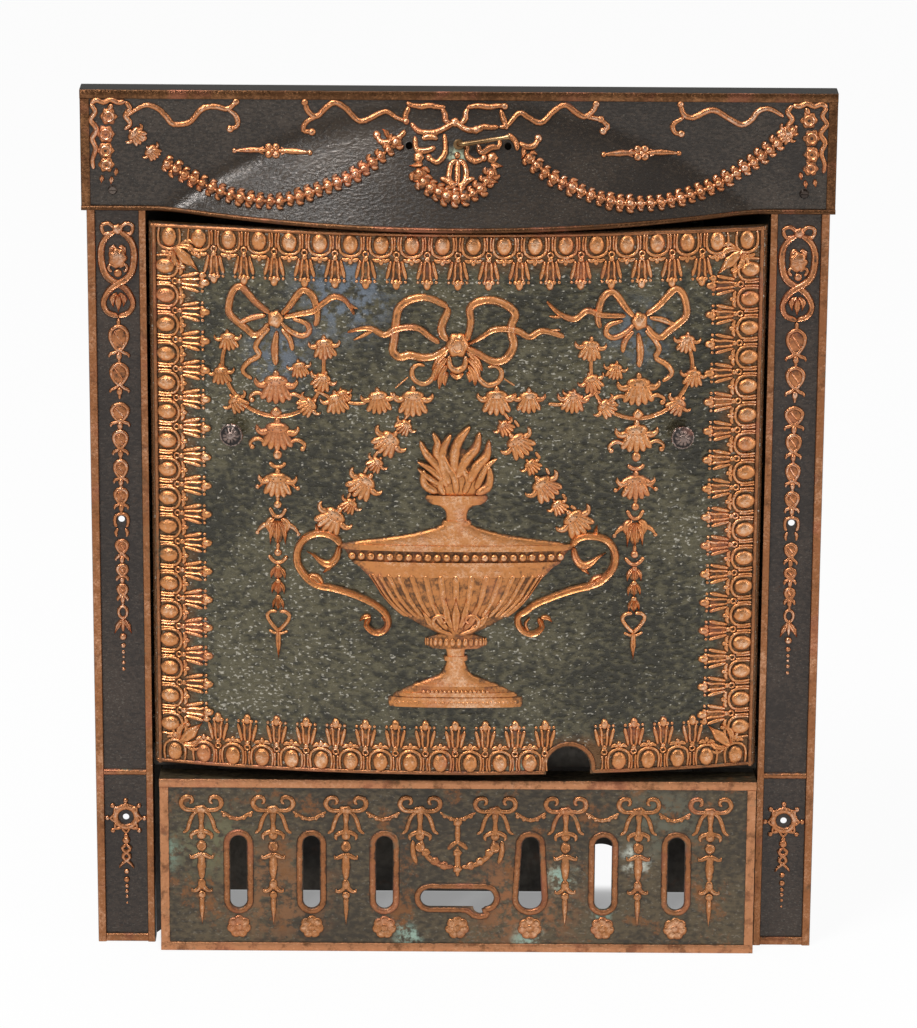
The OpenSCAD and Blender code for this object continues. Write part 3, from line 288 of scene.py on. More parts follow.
VERDIGRIS = (150, 176, 160)
cover_ground = lacquered_ground("cover_ground", (42, 39, 27), (88, 82, 60), (112, 78, 48), 210, 0.22, 1.4, 0.6,
                                [(52, -37, 174, 12, VERDIGRIS), (-95, -36, 596, 60, (104, 112, 122)),
                                 (-150, -28, 540, 40, (98, 104, 112)), (150, -28, 560, 40, (98, 104, 108))], 0.68,
                                 30.0)
hood_ground = lacquered_ground("hood_ground", (40, 33, 27), (62, 52, 43), (92, 64, 42), 420, 0.2, 0.2, 0.12,
                               [(-1, -16, 709, 12, (176, 184, 156))], 0.66, painted_shade_from=759.9)
side_ground = lacquered_ground("side_ground", (40, 31, 25), (58, 46, 37), (92, 60, 40), 420, 0.28, 0.25, 0.1)
ash_ground = lacquered_ground("ash_ground", (56, 48, 36), (90, 77, 55), (142, 92, 54), 210, 0.34, 1.0, 0.12,
                              [(60, -18, 50, 70, (140, 90, 52)), (-150, -18, 55, 66, (128, 88, 54)),
                               (-210, -18, 100, 50, (104, 100, 72)), (180, -18, 120, 50, (96, 94, 78)),
                               (92, -18, 68, 20, VERDIGRIS), (128, -18, 40, 12, VERDIGRIS),
                               (66, -18, 12, 20, VERDIGRIS), (-40, -18, 14, 18, VERDIGRIS),
                               (-252, -18, 90, 22, (120, 140, 122)), (158, -18, 86, 16, (206, 210, 196))], 0.54)
print("ash ground has", len(ash_ground.node_tree.nodes), "nodes")
# %% [markdown]
# Behind the plated front everything is sheet iron and cast iron, brown-black with soot and a bloom of
# rust. Screws, nuts, rivets and the damper's rod are bright steel gone dull.
# %% The iron and steel finishes
def plain_metal(name, deep, pale, rust, rough, grain, metal=0.6, depth=0.4):
    make = Finish(name)
    broad = make.noise(16, 5)
    fine = make.noise(grain, 5, 0.65)
    colour = make.mix(make.ramp(broad, 0.35, 0.7), tint(*deep), tint(*pale))
    colour = make.mix(make.ramp(make.noise(45, 7, 0.7), 0.55, 0.72, 0.0, 0.6), colour, tint(*rust))
    dull = make.ramp(fine, 0.3, 0.7, rough - 0.1, rough + 0.12)
    return make.paint(Base_Color=colour, Roughness=dull, Metallic=metal,
                      Normal=make.bump(fine + broad * 0.5, depth, 0.5))


sooty_sheet = plain_metal("sooty_sheet", (60, 56, 52), (100, 93, 84), (96, 70, 54), 0.55, 220)
grey_casting = plain_metal("grey_casting", (40, 38, 37), (64, 61, 58), (88, 62, 48), 0.62, 340, 0.5, 0.8)
dull_steel = plain_metal("dull_steel", (112, 104, 94), (172, 164, 152), (120, 92, 70), 0.36, 300, 0.85, 0.2)
dark_bronze = plain_metal("dark_bronze", (58, 50, 46), (110, 98, 90), (120, 92, 70), 0.26, 260, 0.85, 0.3)
rod_brass = plain_metal("rod_brass", (104, 78, 50), (172, 138, 98), (92, 74, 52), 0.28, 300, 0.9, 0.2)
CARRIED = {
    sooty_sheet: ["left_cheek", "right_cheek", "back_plate", "top_plate", "flue_collar", "front_rail", "back_rail",
                  "damper_plate", "cover_braces", "cover_clips"],
    grey_casting: ["basket_front", "left_basket_end", "right_basket_end", "shaker_grate", "shaker_arm"],
    dark_bronze: ["hood_screws"],
    dull_steel: ["hood_nuts", "knob_nuts", "shell_rivets", "rail_rivets", "collar_rivets",
                 "clip_rivets", "damper_rivets", "arm_rivets"],
}
for finish, names in CARRIED.items():
    for name in names:
        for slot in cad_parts[name].material_slots:
            slot.material = finish
print("finished", sum(len(names) for names in CARRIED.values()), "carried-over nodes")
# %% [markdown]
# All the ornament is made of two shapes. A stroke follows a smooth line and has the section of a rod,
# a ribbon or a creased leaf; a dome is a round or lobed boss. Both are closed and sunk a little into the
# sheet, so nothing floats. They are gathered as flat points first and laid on their sheet at the end.
# %% Sections and smooth lines
SECTIONS = {
    "rod": [(-1, -0.5), (-0.9, 0.4), (-0.5, 0.85), (0, 1), (0.5, 0.85), (0.9, 0.4), (1, -0.5)],
    "ribbon": [(-1, -0.5), (-0.93, 0.65), (-0.6, 1), (-0.2, 0.7), (0.2, 0.7), (0.6, 1), (0.93, 0.65), (1, -0.5)],
    "leaf": [(-1, -0.5), (-0.93, 0.4), (-0.78, 0.78), (-0.48, 1), (0, 0.72), (0.48, 1), (0.78, 0.78), (0.93, 0.4),
             (1, -0.5)],
    "bar": [(-1, -0.5), (-0.96, 0.75), (-0.8, 1), (0.8, 1), (0.96, 0.75), (1, -0.5)],
}


def smooth_line(points, step, closed=False):
    """A smooth line through the points, as evenly set places."""
    p = np.asarray(points, float)
    if closed:
        ext = np.vstack([p[-1], p, p[0], p[1]])
    else:
        ext = np.vstack([2 * p[0] - p[1], p, 2 * p[-1] - p[-2]])
    t = np.linspace(0, 1, 8, endpoint=False)[:, None]
    parts = []
    for a, b, c, d in zip(ext, ext[1:], ext[2:], ext[3:]):
        parts.append(0.5 * (2 * b + (c - a) * t + (2 * a - 5 * b + 4 * c - d) * t ** 2
                            + (3 * b - a - 3 * c + d) * t ** 3))
    line = np.vstack(parts + [p[:1] if closed else p[-1:]])
    far = np.concatenate([[0], np.cumsum(np.hypot(*np.diff(line, axis=0).T))])
    return line, far, max(4, int(round(far[-1] / step)))


print("sections:", ", ".join(SECTIONS))
# %% [markdown]
# A relief gathers strokes and domes as one mesh. A stroke sets its section square to the line at even
# steps, and its width and height follow the lists that are given, so a leaf can start narrow, swell and
# come to a point. A dome is four rings and a top. Every point keeps its rise for the finish.
# %% Reliefs
def ring_faces(rows, sides, closed=False):
    """Faces between equal rings of points; closed joins the last ring to the first, else both ends are shut."""
    faces = [(a * sides + j, a * sides + (j + 1) % sides, b * sides + (j + 1) % sides, b * sides + j)
             for a, b in [(k, (k + 1) % rows) for k in range(rows if closed else rows - 1)] for j in range(sides)]
    if not closed:
        faces += [tuple(range(sides - 1, -1, -1)), tuple((rows - 1) * sides + j for j in range(sides))]
    return faces


class Relief:
    """Ornament in flat points: across, up and above the sheet, with each point's rise."""

    def __init__(self, plump=1.0):
        self.plump = plump
        self.points = []
        self.rises = []
        self.faces = []
        self.count = 0

    def add(self, points, rises, faces):
        self.points.append(np.asarray(points, float))
        self.rises.append(np.asarray(rises, float))
        self.faces.extend([tuple(i + self.count for i in f) for f in faces])
        self.count += len(points)

    def stroke(self, points, half, height, section="rod", ends="rr", closed=False, step=2.4, lift=0.0, shade=1.0):
        """Half and height are numbers, or lists spread along the line; ends are r round, p pointed, f flat."""
        half = np.asarray(half) * self.plump
        line, far, count = smooth_line(points, step, closed)
        length = far[-1]
        at = np.linspace(0, length, count + 1)
        wide = np.max(half)
        if closed:
            at = at[:-1]
        else:
            near = np.array([0.12, 0.45, 1.0]) * min(wide, length * 0.3)
            at = np.unique(np.concatenate([at[(at > near[-1]) & (at < length - near[-1])], [0, length], near,
                                           length - near]).round(4))
        spine = np.stack([np.interp(at, far, line[:, k]) for k in (0, 1)], 1)
        if closed:
            along = np.roll(spine, -1, 0) - np.roll(spine, 1, 0)
        else:
            along = np.gradient(spine, axis=0)
        along /= np.maximum(np.hypot(*along.T), 1e-9)[:, None]
        side = np.stack([along[:, 1], -along[:, 0]], 1)
        share = at / length
        w = np.interp(share, np.linspace(0, 1, np.size(half)), np.atleast_1d(half))
        h = np.interp(share, np.linspace(0, 1, np.size(height)), np.atleast_1d(height))
        if not closed:
            for kind, d in zip(ends, (at, length - at)):
                if kind == "r":
                    k = np.clip(d / max(min(wide, length / 2), 1e-6), 0, 1)
                    scale = np.sqrt(1 - (1 - k) ** 2) * 0.94 + 0.06
                    h = h * (0.5 + 0.5 * scale)
                elif kind == "p":
                    scale = np.clip(d / (length * 0.5), 0, 1) ** 0.7 * 0.93 + 0.07
                    h = h * (0.45 + 0.55 * scale)
                else:
                    scale = 1.0
                w = w * scale
        form = np.array(SECTIONS[section])
        t, f = form[:, 0], form[:, 1]
        n, m = len(at), len(form)
        uv = spine[:, None, :] + side[:, None, :] * (w[:, None] * t)[:, :, None]
        up = np.where(f < 0, -0.5, h[:, None] * f + lift)
        points3 = np.concatenate([uv, up[:, :, None]], 2).reshape(-1, 3)
        # Rise is 1 on the section's crest and falls to 0 at its sides and foot, times shade; the finish paints low
        # rise as shade and the crest as a highlight.
        rises = np.tile(np.clip(f ** 2 * np.sign(f) + 0.08, 0, 1) * shade, n)
        self.add(points3, rises, ring_faces(n, m, closed))

    def dome(self, x, z, half, height, tall=None, turn=0.0, lobes=0, depth=0.12, sides=14, lift=0.0, shade=1.0):
        """A boss half wide to each side; tall is its half height when it isn't round, shade dims its rise and so
        paints the boss darker as painted shade.
        """
        half, tall = half * self.plump, (tall or half) * self.plump
        a = np.linspace(0, 2 * math.pi, sides, endpoint=False)
        reach = 1 + (depth * np.cos(lobes * a) if lobes else 0 * a)
        rows = [(1, -0.5, 0), (0.96, 0.4 * height, 0.3), (0.75, 0.8 * height, 0.8), (0.4, 0.97 * height, 1)]
        c, s = math.cos(turn), math.sin(turn)
        points, rises = [], []
        for k, h, rise in rows:
            u = k * reach * half * np.cos(a)
            v = k * reach * tall * np.sin(a)
            points.append(np.stack([x + u * c - v * s, z + u * s + v * c,
                                    np.full(sides, h + (lift if rise else 0))], 1))
            rises.append(np.full(sides, rise * shade))
        points.append([[x, z, height + lift]])
        rises.append([shade])
        last, top = (len(rows) - 1) * sides, len(rows) * sides
        faces = ring_faces(len(rows), sides)[:-1]
        faces += [(last + j, last + (j + 1) % sides, top) for j in range(sides)]
        self.add(np.vstack(points), np.concatenate(rises), faces)

    def pair(self, points, *shape, about=0.0, **more):
        """A stroke and its mirror image, with x counted outwards from the line about."""
        for side in (-1, 1):
            self.stroke([(about + side * x, z) for x, z in points], *shape, **more)

    def dome_pair(self, x, z, *shape, about=0.0, **more):
        for side in (-1, 1):
            self.dome(about + side * x, z, *shape, **more)

    def take(self, other, flip=False, shift=0.0):
        """Copies another relief in, moved sideways by shift and mirrored across the middle when flip is set."""
        points = other.flat() + np.array([shift, 0.0, 0.0])
        faces = other.faces
        if flip:
            points = points * np.array([-1, 1, 1])
            faces = [f[::-1] for f in faces]
        self.add(points, other.rise(), faces)

    def both(self, other):
        self.take(other)
        self.take(other, flip=True)

    def flat(self):
        return np.vstack(self.points)

    def rise(self):
        return np.concatenate(self.rises)


# %% [markdown]
# Points become a piece in a few moves: the faces are turned outwards and shaded smooth up to a sharp
# angle, then the piece gets its finish and is put on the body that it moves with, in the place of the
# solid that it stands for.
# %% From points to pieces
def in_scene(name, data):
    """A new object with the data, linked to the scene."""
    made = bpy.data.objects.new(name, data)
    bpy.context.scene.collection.objects.link(made)
    return made


def baked(holder):
    """The plain mesh that an object's modifiers make; the object goes."""
    mesh = bpy.data.meshes.new_from_object(holder.evaluated_get(bpy.context.evaluated_depsgraph_get()))
    bpy.data.objects.remove(holder)
    return mesh


def shade(mesh, sharp=50):
    """Smooth shading with the edges left sharp that are sharper than the angle."""
    mesh.shade_smooth()
    mesh.set_sharp_from_angle(angle=math.radians(sharp))


def plain_mesh(name, points, faces, finish, rises, sharp=50):
    mesh = bpy.data.meshes.new(name)
    mesh.from_pydata(points.tolist(), [], faces)
    mesh.update()
    mesh.attributes.new("rise", "FLOAT", "POINT").data.foreach_set("value", rises)
    mesh.materials.append(finish)
    bm = bmesh.new()
    bm.from_mesh(mesh)
    bmesh.ops.recalc_face_normals(bm, faces=bm.faces)
    bm.to_mesh(mesh)
    bm.free()
    shade(mesh, sharp)
    return mesh


# The body, the slot and the replaced solids of what lies on each front.
COVER = ("cover", "dark_copper", ["cover_panel"])
HOOD = ("surround", "dark_copper", ["hood"])
ASH = ("ash_box", "copper_plate", ["ash_front"])


def pilaster_home(side):
    return "surround", "copper_plate", [side + "_pilaster"]


def show(name, mesh, body, slot, stands_for):
    """Puts a finished mesh in the scene, on its body."""
    piece = in_scene(name, mesh)
    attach(piece, body)
    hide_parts(*stands_for)
    print(name, len(mesh.polygons), "faces")


def lay(name, relief, place, finish, home):
    """Lays a relief on its sheet; home is its body, slot and replaced solids."""
    mesh = plain_mesh(name, place(*relief.flat().T), relief.faces, finish, relief.rise())
    show(name, mesh, *home)


# %% [markdown]
# A sheet is one skin with its holes cut, folded back at the edges, and then given its thickness by a
# Solidify modifier. The flat part is filled with triangles around a grid of places, so that the bow
# and the swelling come out smooth and the holes stay true.
# %% Pressed sheets
def ring_points(x, z, half, sides=28, tall=None, turn=0.0):
    a = np.linspace(0, 2 * math.pi, sides, endpoint=False) + turn
    return np.stack([x + half * np.cos(a), z + (tall or half) * np.sin(a)], 1)


def split(points, step):
    """A closed outline with more places on its long sides."""
    out = []
    for a, b in zip(points, points[1:] + points[:1]):
        n = max(1, int(round(math.dist(a, b) / step)))
        out += [(a[0] + (b[0] - a[0]) * k / n, a[1] + (b[1] - a[1]) * k / n) for k in range(n)]
    return np.array(out)


def inside(points, outline):
    x, y = points[:, 0], points[:, 1]
    hit = np.zeros(len(points), bool)
    for a, b in zip(outline, np.roll(outline, -1, 0)):
        cross = (a[1] > y) != (b[1] > y)
        if cross.any():
            hit ^= cross & (x < (b[0] - a[0]) * (y - a[1]) / (b[1] - a[1] + 1e-12) + a[0])
    return hit


def clear_of(points, outline, gap):
    keep = np.ones(len(points), bool)
    for q in outline:
        keep &= np.hypot(*(points - q).T) > gap
    return keep


def filled(outline, holes, step):
    """Triangles over the outline without the holes: places and faces."""
    lo, hi = outline.min(0), outline.max(0)
    nx, nz = [max(2, int((hi[k] - lo[k]) / step[k])) for k in (0, 1)]
    gx, gz = np.meshgrid(np.linspace(lo[0], hi[0], nx + 1)[1:-1], np.linspace(lo[1], hi[1], nz + 1)[1:-1])
    grid = np.stack([gx.ravel(), gz.ravel()], 1)
    grid = grid[inside(grid, outline) & clear_of(grid, outline, 0.45 * min(step))]
    for hole in holes:
        grid = grid[~inside(grid, hole) & clear_of(grid, hole, 0.3 * min(step))]
    verts, edges = [], []
    for loop in [outline] + list(holes):
        base = len(verts)
        verts += [Vector(p) for p in loop.tolist()]
        edges += [(base + i, base + (i + 1) % len(loop)) for i in range(len(loop))]
    verts += [Vector(p) for p in grid.tolist()]
    out_verts, _, out_faces, _, _, _ = delaunay_2d_cdt(verts, edges, [], 0, 1e-5)
    places = np.array([tuple(v) for v in out_verts])
    faces = [tuple(f) for f in out_faces]
    middle = np.array([places[list(f)].mean(0) for f in faces])
    keep = inside(middle, outline)
    for hole in holes:
        keep &= ~inside(middle, hole)
    return places, [f for f, k in zip(faces, keep) if k]


def pressed(name, patch, faces, folds, finish, home):
    """Patch and faces are the filled part; folds are lists of equal rows of points. All in metres."""
    points, faces, count = [patch], list(faces), len(patch)
    for rows in folds:
        n = len(rows[0])
        points += rows
        for k in range(len(rows) - 1):
            a, b = count + k * n, count + (k + 1) * n
            faces += [(a + j, a + j + 1, b + j + 1, b + j) for j in range(n - 1)]
        count += n * len(rows)
    raw = bpy.data.meshes.new(name + "_skin")
    raw.from_pydata(np.vstack(points).tolist(), [], faces)
    bm = bmesh.new()
    bm.from_mesh(raw)
    bmesh.ops.remove_doubles(bm, verts=bm.verts, dist=2e-5)
    bmesh.ops.recalc_face_normals(bm, faces=bm.faces)
    front = sum(f.normal.y * f.calc_area() for f in bm.faces)
    if front > 0:
        bmesh.ops.reverse_faces(bm, faces=bm.faces)
    bm.to_mesh(raw)
    bm.free()
    holder = in_scene(name + "_skin", raw)
    thick = holder.modifiers.new("wall", "SOLIDIFY")
    thick.thickness = WALL * MM
    thick.offset = -1
    mesh = baked(holder)
    mesh.name = name
    bpy.data.meshes.remove(raw)
    mesh.materials.clear()
    mesh.materials.append(finish)
    shade(mesh, 40)
    show(name, mesh, *home)


print("a round hole has", len(ring_points(0, 0, 3.0)), "points")
# %% [markdown]
# The cover's sheet has its top and bottom edges turned straight back, its sides turned back and
# outwards, and a round notch at the foot to the right of the middle, where a gas pipe can pass.
# %% The cover's sheet
NOTCH_X, NOTCH_Z, NOTCH_R = 97.0, 176.5, 19.0
arch = [(NOTCH_X + NOTCH_R * math.cos(a), NOTCH_Z + NOTCH_R * math.sin(a))
        for a in np.linspace(math.pi, 0, 21)]
cover_line = [(-HALF_W, LOW), (NOTCH_X - NOTCH_R, LOW), *arch, (NOTCH_X + NOTCH_R, LOW), (HALF_W, LOW),
              (HALF_W, HIGH), (-HALF_W, HIGH)]
cover_outline = split(cover_line, 9.0)
places, faces = filled(cover_outline, [], (9.0, 14.0))


def cover_fold(run, back, out=0.0):
    s = run[:, 0] / BOW_R
    return row(run[:, 0] + out, BOW_Y - BOW_R * np.sqrt(1 - s * s) + back, run[:, 1])


folds = []
for level, sign in ((HIGH, 1), (LOW, -1)):
    run = cover_outline[np.abs(cover_outline[:, 1] - level) < 1e-6]
    run = run[np.argsort(run[:, 0])]
    parts = [run] if sign > 0 else [run[run[:, 0] < NOTCH_X], run[run[:, 0] > NOTCH_X]]
    for part in parts:
        folds.append([cover_fold(part, back) for back in (0.0, 2.5, 6.4)])
for sign in (-1, 1):
    run = cover_outline[np.abs(cover_outline[:, 0] - sign * HALF_W) < 1e-6]
    run = run[np.argsort(run[:, 1])]
    folds.append([cover_fold(run, back, sign * out) for back, out in ((0.0, 0.0), (0.8, 1.0), (6.4, 2.9))])
pressed("cover_sheet", on_cover(*places.T), faces, folds, cover_ground, COVER)
# %% [markdown]
# The hood is one sheet that is flat at its ends and swells forward over the middle. Its top turns back
# as a flange, its ends turn back over the pilasters, and its lower edge is rolled into a round lip that
# dips and comes forward in the middle.
# %% The hood's sheet and lip
def swell(x):
    """The lip's share of the greatest swell, 0 at the ends and 1 in the middle."""
    return hood_out(x, LIP_Z) / SWELL


def lip_height(x):
    return LIP_Z + 7 * (1 - swell(x))


lip_x = np.linspace(-HOOD_HALF, HOOD_HALF, 85)
hood_outline = np.vstack([
    np.stack([lip_x, lip_height(lip_x) + 1.6], 1),
    [(HOOD_HALF, z) for z in np.linspace(HOOD_FOOT, HOOD_TOP, 15)[1:]],
    [(x, HOOD_TOP) for x in np.linspace(HOOD_HALF, -HOOD_HALF, 64)[1:]],
    [(-HOOD_HALF, z) for z in np.linspace(HOOD_TOP, HOOD_FOOT, 15)[1:-1]],
])
hood_holes = [ring_points(0, ROD_Z, 3.1, 16), ring_points(41, 716.5, 3, 16), ring_points(-41, 716.5, 3, 16)]
places, faces = filled(hood_outline, hood_holes, (7.5, 5.5))
top_x = np.sort(hood_outline[np.abs(hood_outline[:, 1] - HOOD_TOP) < 1e-6][:, 0])
folds = [[on_hood(top_x, HOOD_TOP), row(top_x, 0.6, HOOD_TOP), row(top_x, 19.9, HOOD_TOP)]]
for side in (-HOOD_HALF, HOOD_HALF):
    end_z = np.sort(hood_outline[np.abs(hood_outline[:, 0] - side) < 1e-6][:, 1])
    folds.append([on_hood(np.full(len(end_z), side), end_z), row(side, 0.6, end_z), row(side, 13.9, end_z)])
pressed("hood_sheet", on_hood(*places.T), faces, folds, hood_ground, HOOD)


def lip_tube(radius=2.2, sides=14, rings=127):
    """The rolled lip: a rod that follows the sheet's lower edge, 2.25 mm in front of it at the ends."""
    a = np.linspace(0, 2 * math.pi, sides, endpoint=False)
    x = np.linspace(-HOOD_HALF, HOOD_HALF, rings)
    mid = lip_height(x)
    y = -hood_out(x, mid) - 2.25 + (2.25 - 0.6) * swell(x)
    points = row(x[:, None], y[:, None] + radius * np.cos(a), mid[:, None] + radius * np.sin(a)).reshape(-1, 3)
    # Rise is highest on the lip's front and low round its top, foot and back, so it is painted brighter in front and
    # darker behind: painted highlight and shade.
    rises = np.tile(0.35 + 0.5 * np.clip(-np.cos(a), 0, 1), rings)
    show("hood_lip", plain_mesh("hood_lip", points, ring_faces(rings, sides), rim_copper, rises), *HOOD)


lip_tube()
# %% [markdown]
# A pilaster is a narrow sheet, folded back at both edges, with a sunk panel. Its section is the same
# from top to bottom, so the skin is drawn as lines that run the whole height; only the panel is filled
# with triangles, because two fixing holes go through it.
# %% The pilasters
BACK = 17.9
INNER_FOLD = [(267, 2.5), (266.4, 1.0), (265.6, 0.35), (264.6, 0.05), (262.6, 0.1), (261.5, 0.6), (261, 1.8),
              (261, BACK)]
OUTER_FOLD = [(304, 2.5), (304.6, 1.0), (305.4, 0.35), (306.4, 0.05), (309.4, 0.1), (310.5, 0.6), (311, 1.8),
              (311, BACK)]


def pilaster(side, sign):
    levels = np.linspace(0, PILASTER_TOP, 37)
    across = np.linspace(PANEL_IN, PANEL_OUT, 6)
    outline = np.vstack([
        [(x, 0) for x in across[:-1]], [(PANEL_OUT, z) for z in levels[:-1]],
        [(x, PILASTER_TOP) for x in across[:0:-1]], [(PANEL_IN, z) for z in levels[:0:-1]],
    ])
    holes = [ring_points(PILASTER_MID, z, 2.8, 18) for z in (115.5, 386)]
    places, faces = filled(outline, holes, (6, 12))
    folds = [[row(sign * x, y, levels) for x, y in lines] for lines in (INNER_FOLD, OUTER_FOLD)]
    pressed(side + "_pilaster_sheet", on_pilaster(sign * places[:, 0], places[:, 1]), faces, folds, side_ground,
            pilaster_home(side))


pilaster("right", 1)
pilaster("left", -1)
# %% [markdown]
# The ash front is a shallow tray stood on edge: a panel with six upright vents and one level slot, its
# sides and top turned back. The fourth vent has worn or been cut wider towards its foot, and the slot
# has a round bite where the shaking handle rides.
# %% The ash front's sheet
def long_hole(x, z0, z1, half, foot=None):
    """Outline of an upright slot with round ends; the foot may be wider."""
    low = foot or half
    a = np.linspace(0, math.pi, 13)
    top = np.stack([x + half * np.cos(a), z1 - half + half * np.sin(a)], 1)
    under = np.stack([x - low * np.cos(a), z0 + low - low * np.sin(a)], 1)
    return np.vstack([top, under])


def level_slot(radius, step=1):
    """The round ends of the level slot, right and left."""
    a = np.linspace(-math.pi / 2, math.pi / 2, 13)[::step]
    end = np.stack([SLOT_HALF + radius * np.cos(a), radius * np.sin(a)], 1)
    return [(ASH_MID, SLOT_Z) + end, (ASH_MID, SLOT_Z) - end]


VENTS = [(k, ASH_MID + 63.2 * k) for k in (-3, -2, -1, 1, 2, 3)]
WIDE_VENT = 1
SLOT_Z, SLOT_HALF, BITE_R = 50.0, 23.75, 6.2
ash_holes = [long_hole(x, 40, 106.7, 7.25, 11.5 if k == WIDE_VENT else None) for k, x in VENTS]
bite = [(22.5 + BITE_R * math.cos(t), 42 + BITE_R * math.sin(t)) for t in np.linspace(math.pi, 2 * math.pi, 10)]
slot_hole = np.vstack(level_slot(8) + [bite])
ash_outline = split([(ASH_LEFT, 0.0), (ASH_RIGHT, 0.0), (ASH_RIGHT, ASH_TOP), (ASH_LEFT, ASH_TOP)], 9)
places, faces = filled(ash_outline, ash_holes + [slot_hole], (9, 9))
run_x = np.sort(ash_outline[np.abs(ash_outline[:, 1] - ASH_TOP) < 1e-6][:, 0])
EDGE_Y = -16.6
folds = [[on_ash(run_x, ASH_TOP), row(run_x, EDGE_Y, ASH_TOP), row(run_x, 5.9, ASH_TOP)]]
for side in (ASH_LEFT, ASH_RIGHT):
    run_z = np.sort(ash_outline[np.abs(ash_outline[:, 0] - side) < 1e-6][:, 1])
    folds.append([on_ash(np.full(len(run_z), side), run_z), row(side, EDGE_Y, run_z), row(side, 13.6, run_z)])
pressed("ash_sheet", on_ash(*places.T), faces, folds, ash_ground, ASH)
# %% [markdown]
# Plain raised borders stiffen every sheet: flat bars round the hood, the pilasters' ribs and the ash
# front, and a rounded ring round each vent. They are browner than the ornament, since cloths and
# boots have only rubbed their edges.
# %% Raised borders
INSET = 4.0
hood_rims = Relief()
top, end = HOOD_TOP - INSET, HOOD_HALF - INSET
hood_rims.stroke([(-HOOD_HALF, top), (0, top), (HOOD_HALF, top)], 3.9, 1.7, "bar", "ff", step=7)
hood_rims.pair([(end, HOOD_FOOT), (end, 710), (end, 752.2)], 3.9, 1.7, "bar", "ff")
lay("hood_rims", hood_rims, on_hood, rim_copper, HOOD)
for side, sign in (("left", -1), ("right", 1)):
    rims = Relief()
    for z, half, height, form in ((157, 3.0, 2.6, "rod"), (3.8, 3.6, 2.3, "bar")):
        rims.stroke([(sign * x, z) for x in (266.5, 285, 304.5)], half, height, form, "ff")
    for x, half in ((264.4, 3.3), (307.3, 3.6)):
        rims.stroke([(sign * x, z) for z in (0.2, 300, 657)], half, 3.0, "bar", "ff", step=24)
    lay(side + "_pilaster_rims", rims, on_pilaster, pink_copper, pilaster_home(side))
ash_rims = Relief()
for z in (ASH_TOP - INSET, INSET):
    ash_rims.stroke([(ASH_LEFT, z), (0, z), (ASH_RIGHT, z)], 3.9, 1.6, "bar", "ff", step=8)
for x in (ASH_LEFT + INSET, ASH_RIGHT - INSET):
    ash_rims.stroke([(x, 7.8), (x, 80), (x, 151)], 3.9, 1.6, "bar", "ff", step=8)
lay("ash_rims", ash_rims, on_ash, frame_copper, ASH)
vent_rims = Relief()
for k, x in VENTS:
    ring = long_hole(x, 37, 109.7, 10.25, 13.0 if k == WIDE_VENT else None)
    vent_rims.stroke(split([tuple(q) for q in ring], 4), 3.0, 1.8, closed=True)
slot_ring = np.vstack(level_slot(11, 2) + [[(-6, 39), (6, 39), (12, 38), (16, 34), (22.5, 32.4), (29, 34.4)]])
vent_rims.stroke(split([tuple(q) for q in slot_ring], 4), 2.8, 1.8, closed=True)
lay("vent_rims", vent_rims, on_ash, pink_copper, ASH)
cover_rims = Relief()
edge, past = 2.1, NOTCH_R + 2
for line in ([(-HALF_W, HIGH - edge), (0, HIGH - edge), (HALF_W, HIGH - edge)],
             [(-HALF_W, LOW + edge), (-90, LOW + edge), (NOTCH_X - past, LOW + edge)],
             [(NOTCH_X + past, LOW + edge), (180, LOW + edge), (HALF_W, LOW + edge)],
             [(-HALF_W + edge, LOW), (-HALF_W + edge, 400), (-HALF_W + edge, HIGH)],
             [(HALF_W - edge, LOW), (HALF_W - edge, 400), (HALF_W - edge, HIGH)]):
    cover_rims.stroke(line, 2.0, 2.1, "rod", "ff", step=9)
notch_rim = NOTCH_R + 2.6
cover_rims.stroke([(NOTCH_X + notch_rim * math.cos(t), NOTCH_Z + notch_rim * math.sin(t))
                   for t in np.linspace(math.pi * 1.06, -math.pi * 0.06, 15)], 2.4, 2.2)
lay("cover_rims", cover_rims, on_cover, pink_copper, COVER)
# %% [markdown]
# Beads, husks and the egg and dart border repeat by the dozen, so Geometry Nodes set them out. The
# first tree puts one small unit on each point that a script has laid along a line: every point carries
# its turn and its size. The second tree needs no points: it works out a row along the cover's bow from
# a count and steps.
# %% A plan for node trees
class Plan:
    """A Geometry Nodes tree with named inputs."""

    def __init__(self, name, inputs):
        self.tree = bpy.data.node_groups.new(name, "GeometryNodeTree")
        face = self.tree.interface
        face.new_socket("Geometry", in_out="INPUT", socket_type="NodeSocketGeometry")
        for label, kind in inputs:
            face.new_socket(label, in_out="INPUT", socket_type="NodeSocket" + kind)
        face.new_socket("Geometry", in_out="OUTPUT", socket_type="NodeSocketGeometry")
        self.start = self.tree.nodes.new("NodeGroupInput")
        self.finish = self.tree.nodes.new("NodeGroupOutput")

    def given(self, label):
        return self.start.outputs[label]

    def node(self, kind, settings, *values, **sockets):
        """Adds a node; values go to its live inputs in order, sockets by name."""
        node = self.tree.nodes.new(kind)
        for key, value in settings.items():
            setattr(node, key, value)
        live = [s for s in node.inputs if s.enabled]
        pairs = list(zip(live, values))
        pairs += [(next(s for s in live if s.name == key.replace("_", " ")), v) for key, v in sockets.items()]
        for slot, value in pairs:
            if isinstance(value, bpy.types.NodeSocket):
                self.tree.links.new(value, slot)
            else:
                slot.default_value = value
        return next(s for s in node.outputs if s.enabled)

    def math(self, op, *values):
        return self.node("ShaderNodeMath", {"operation": op}, *values)

    def close(self, geometry):
        solid = self.node("GeometryNodeRealizeInstances", {}, geometry)
        done = self.node("GeometryNodeSetMaterial", {}, Geometry=solid, Material=self.given("Finish"))
        self.tree.links.new(done, self.finish.inputs[0])
        return self.tree


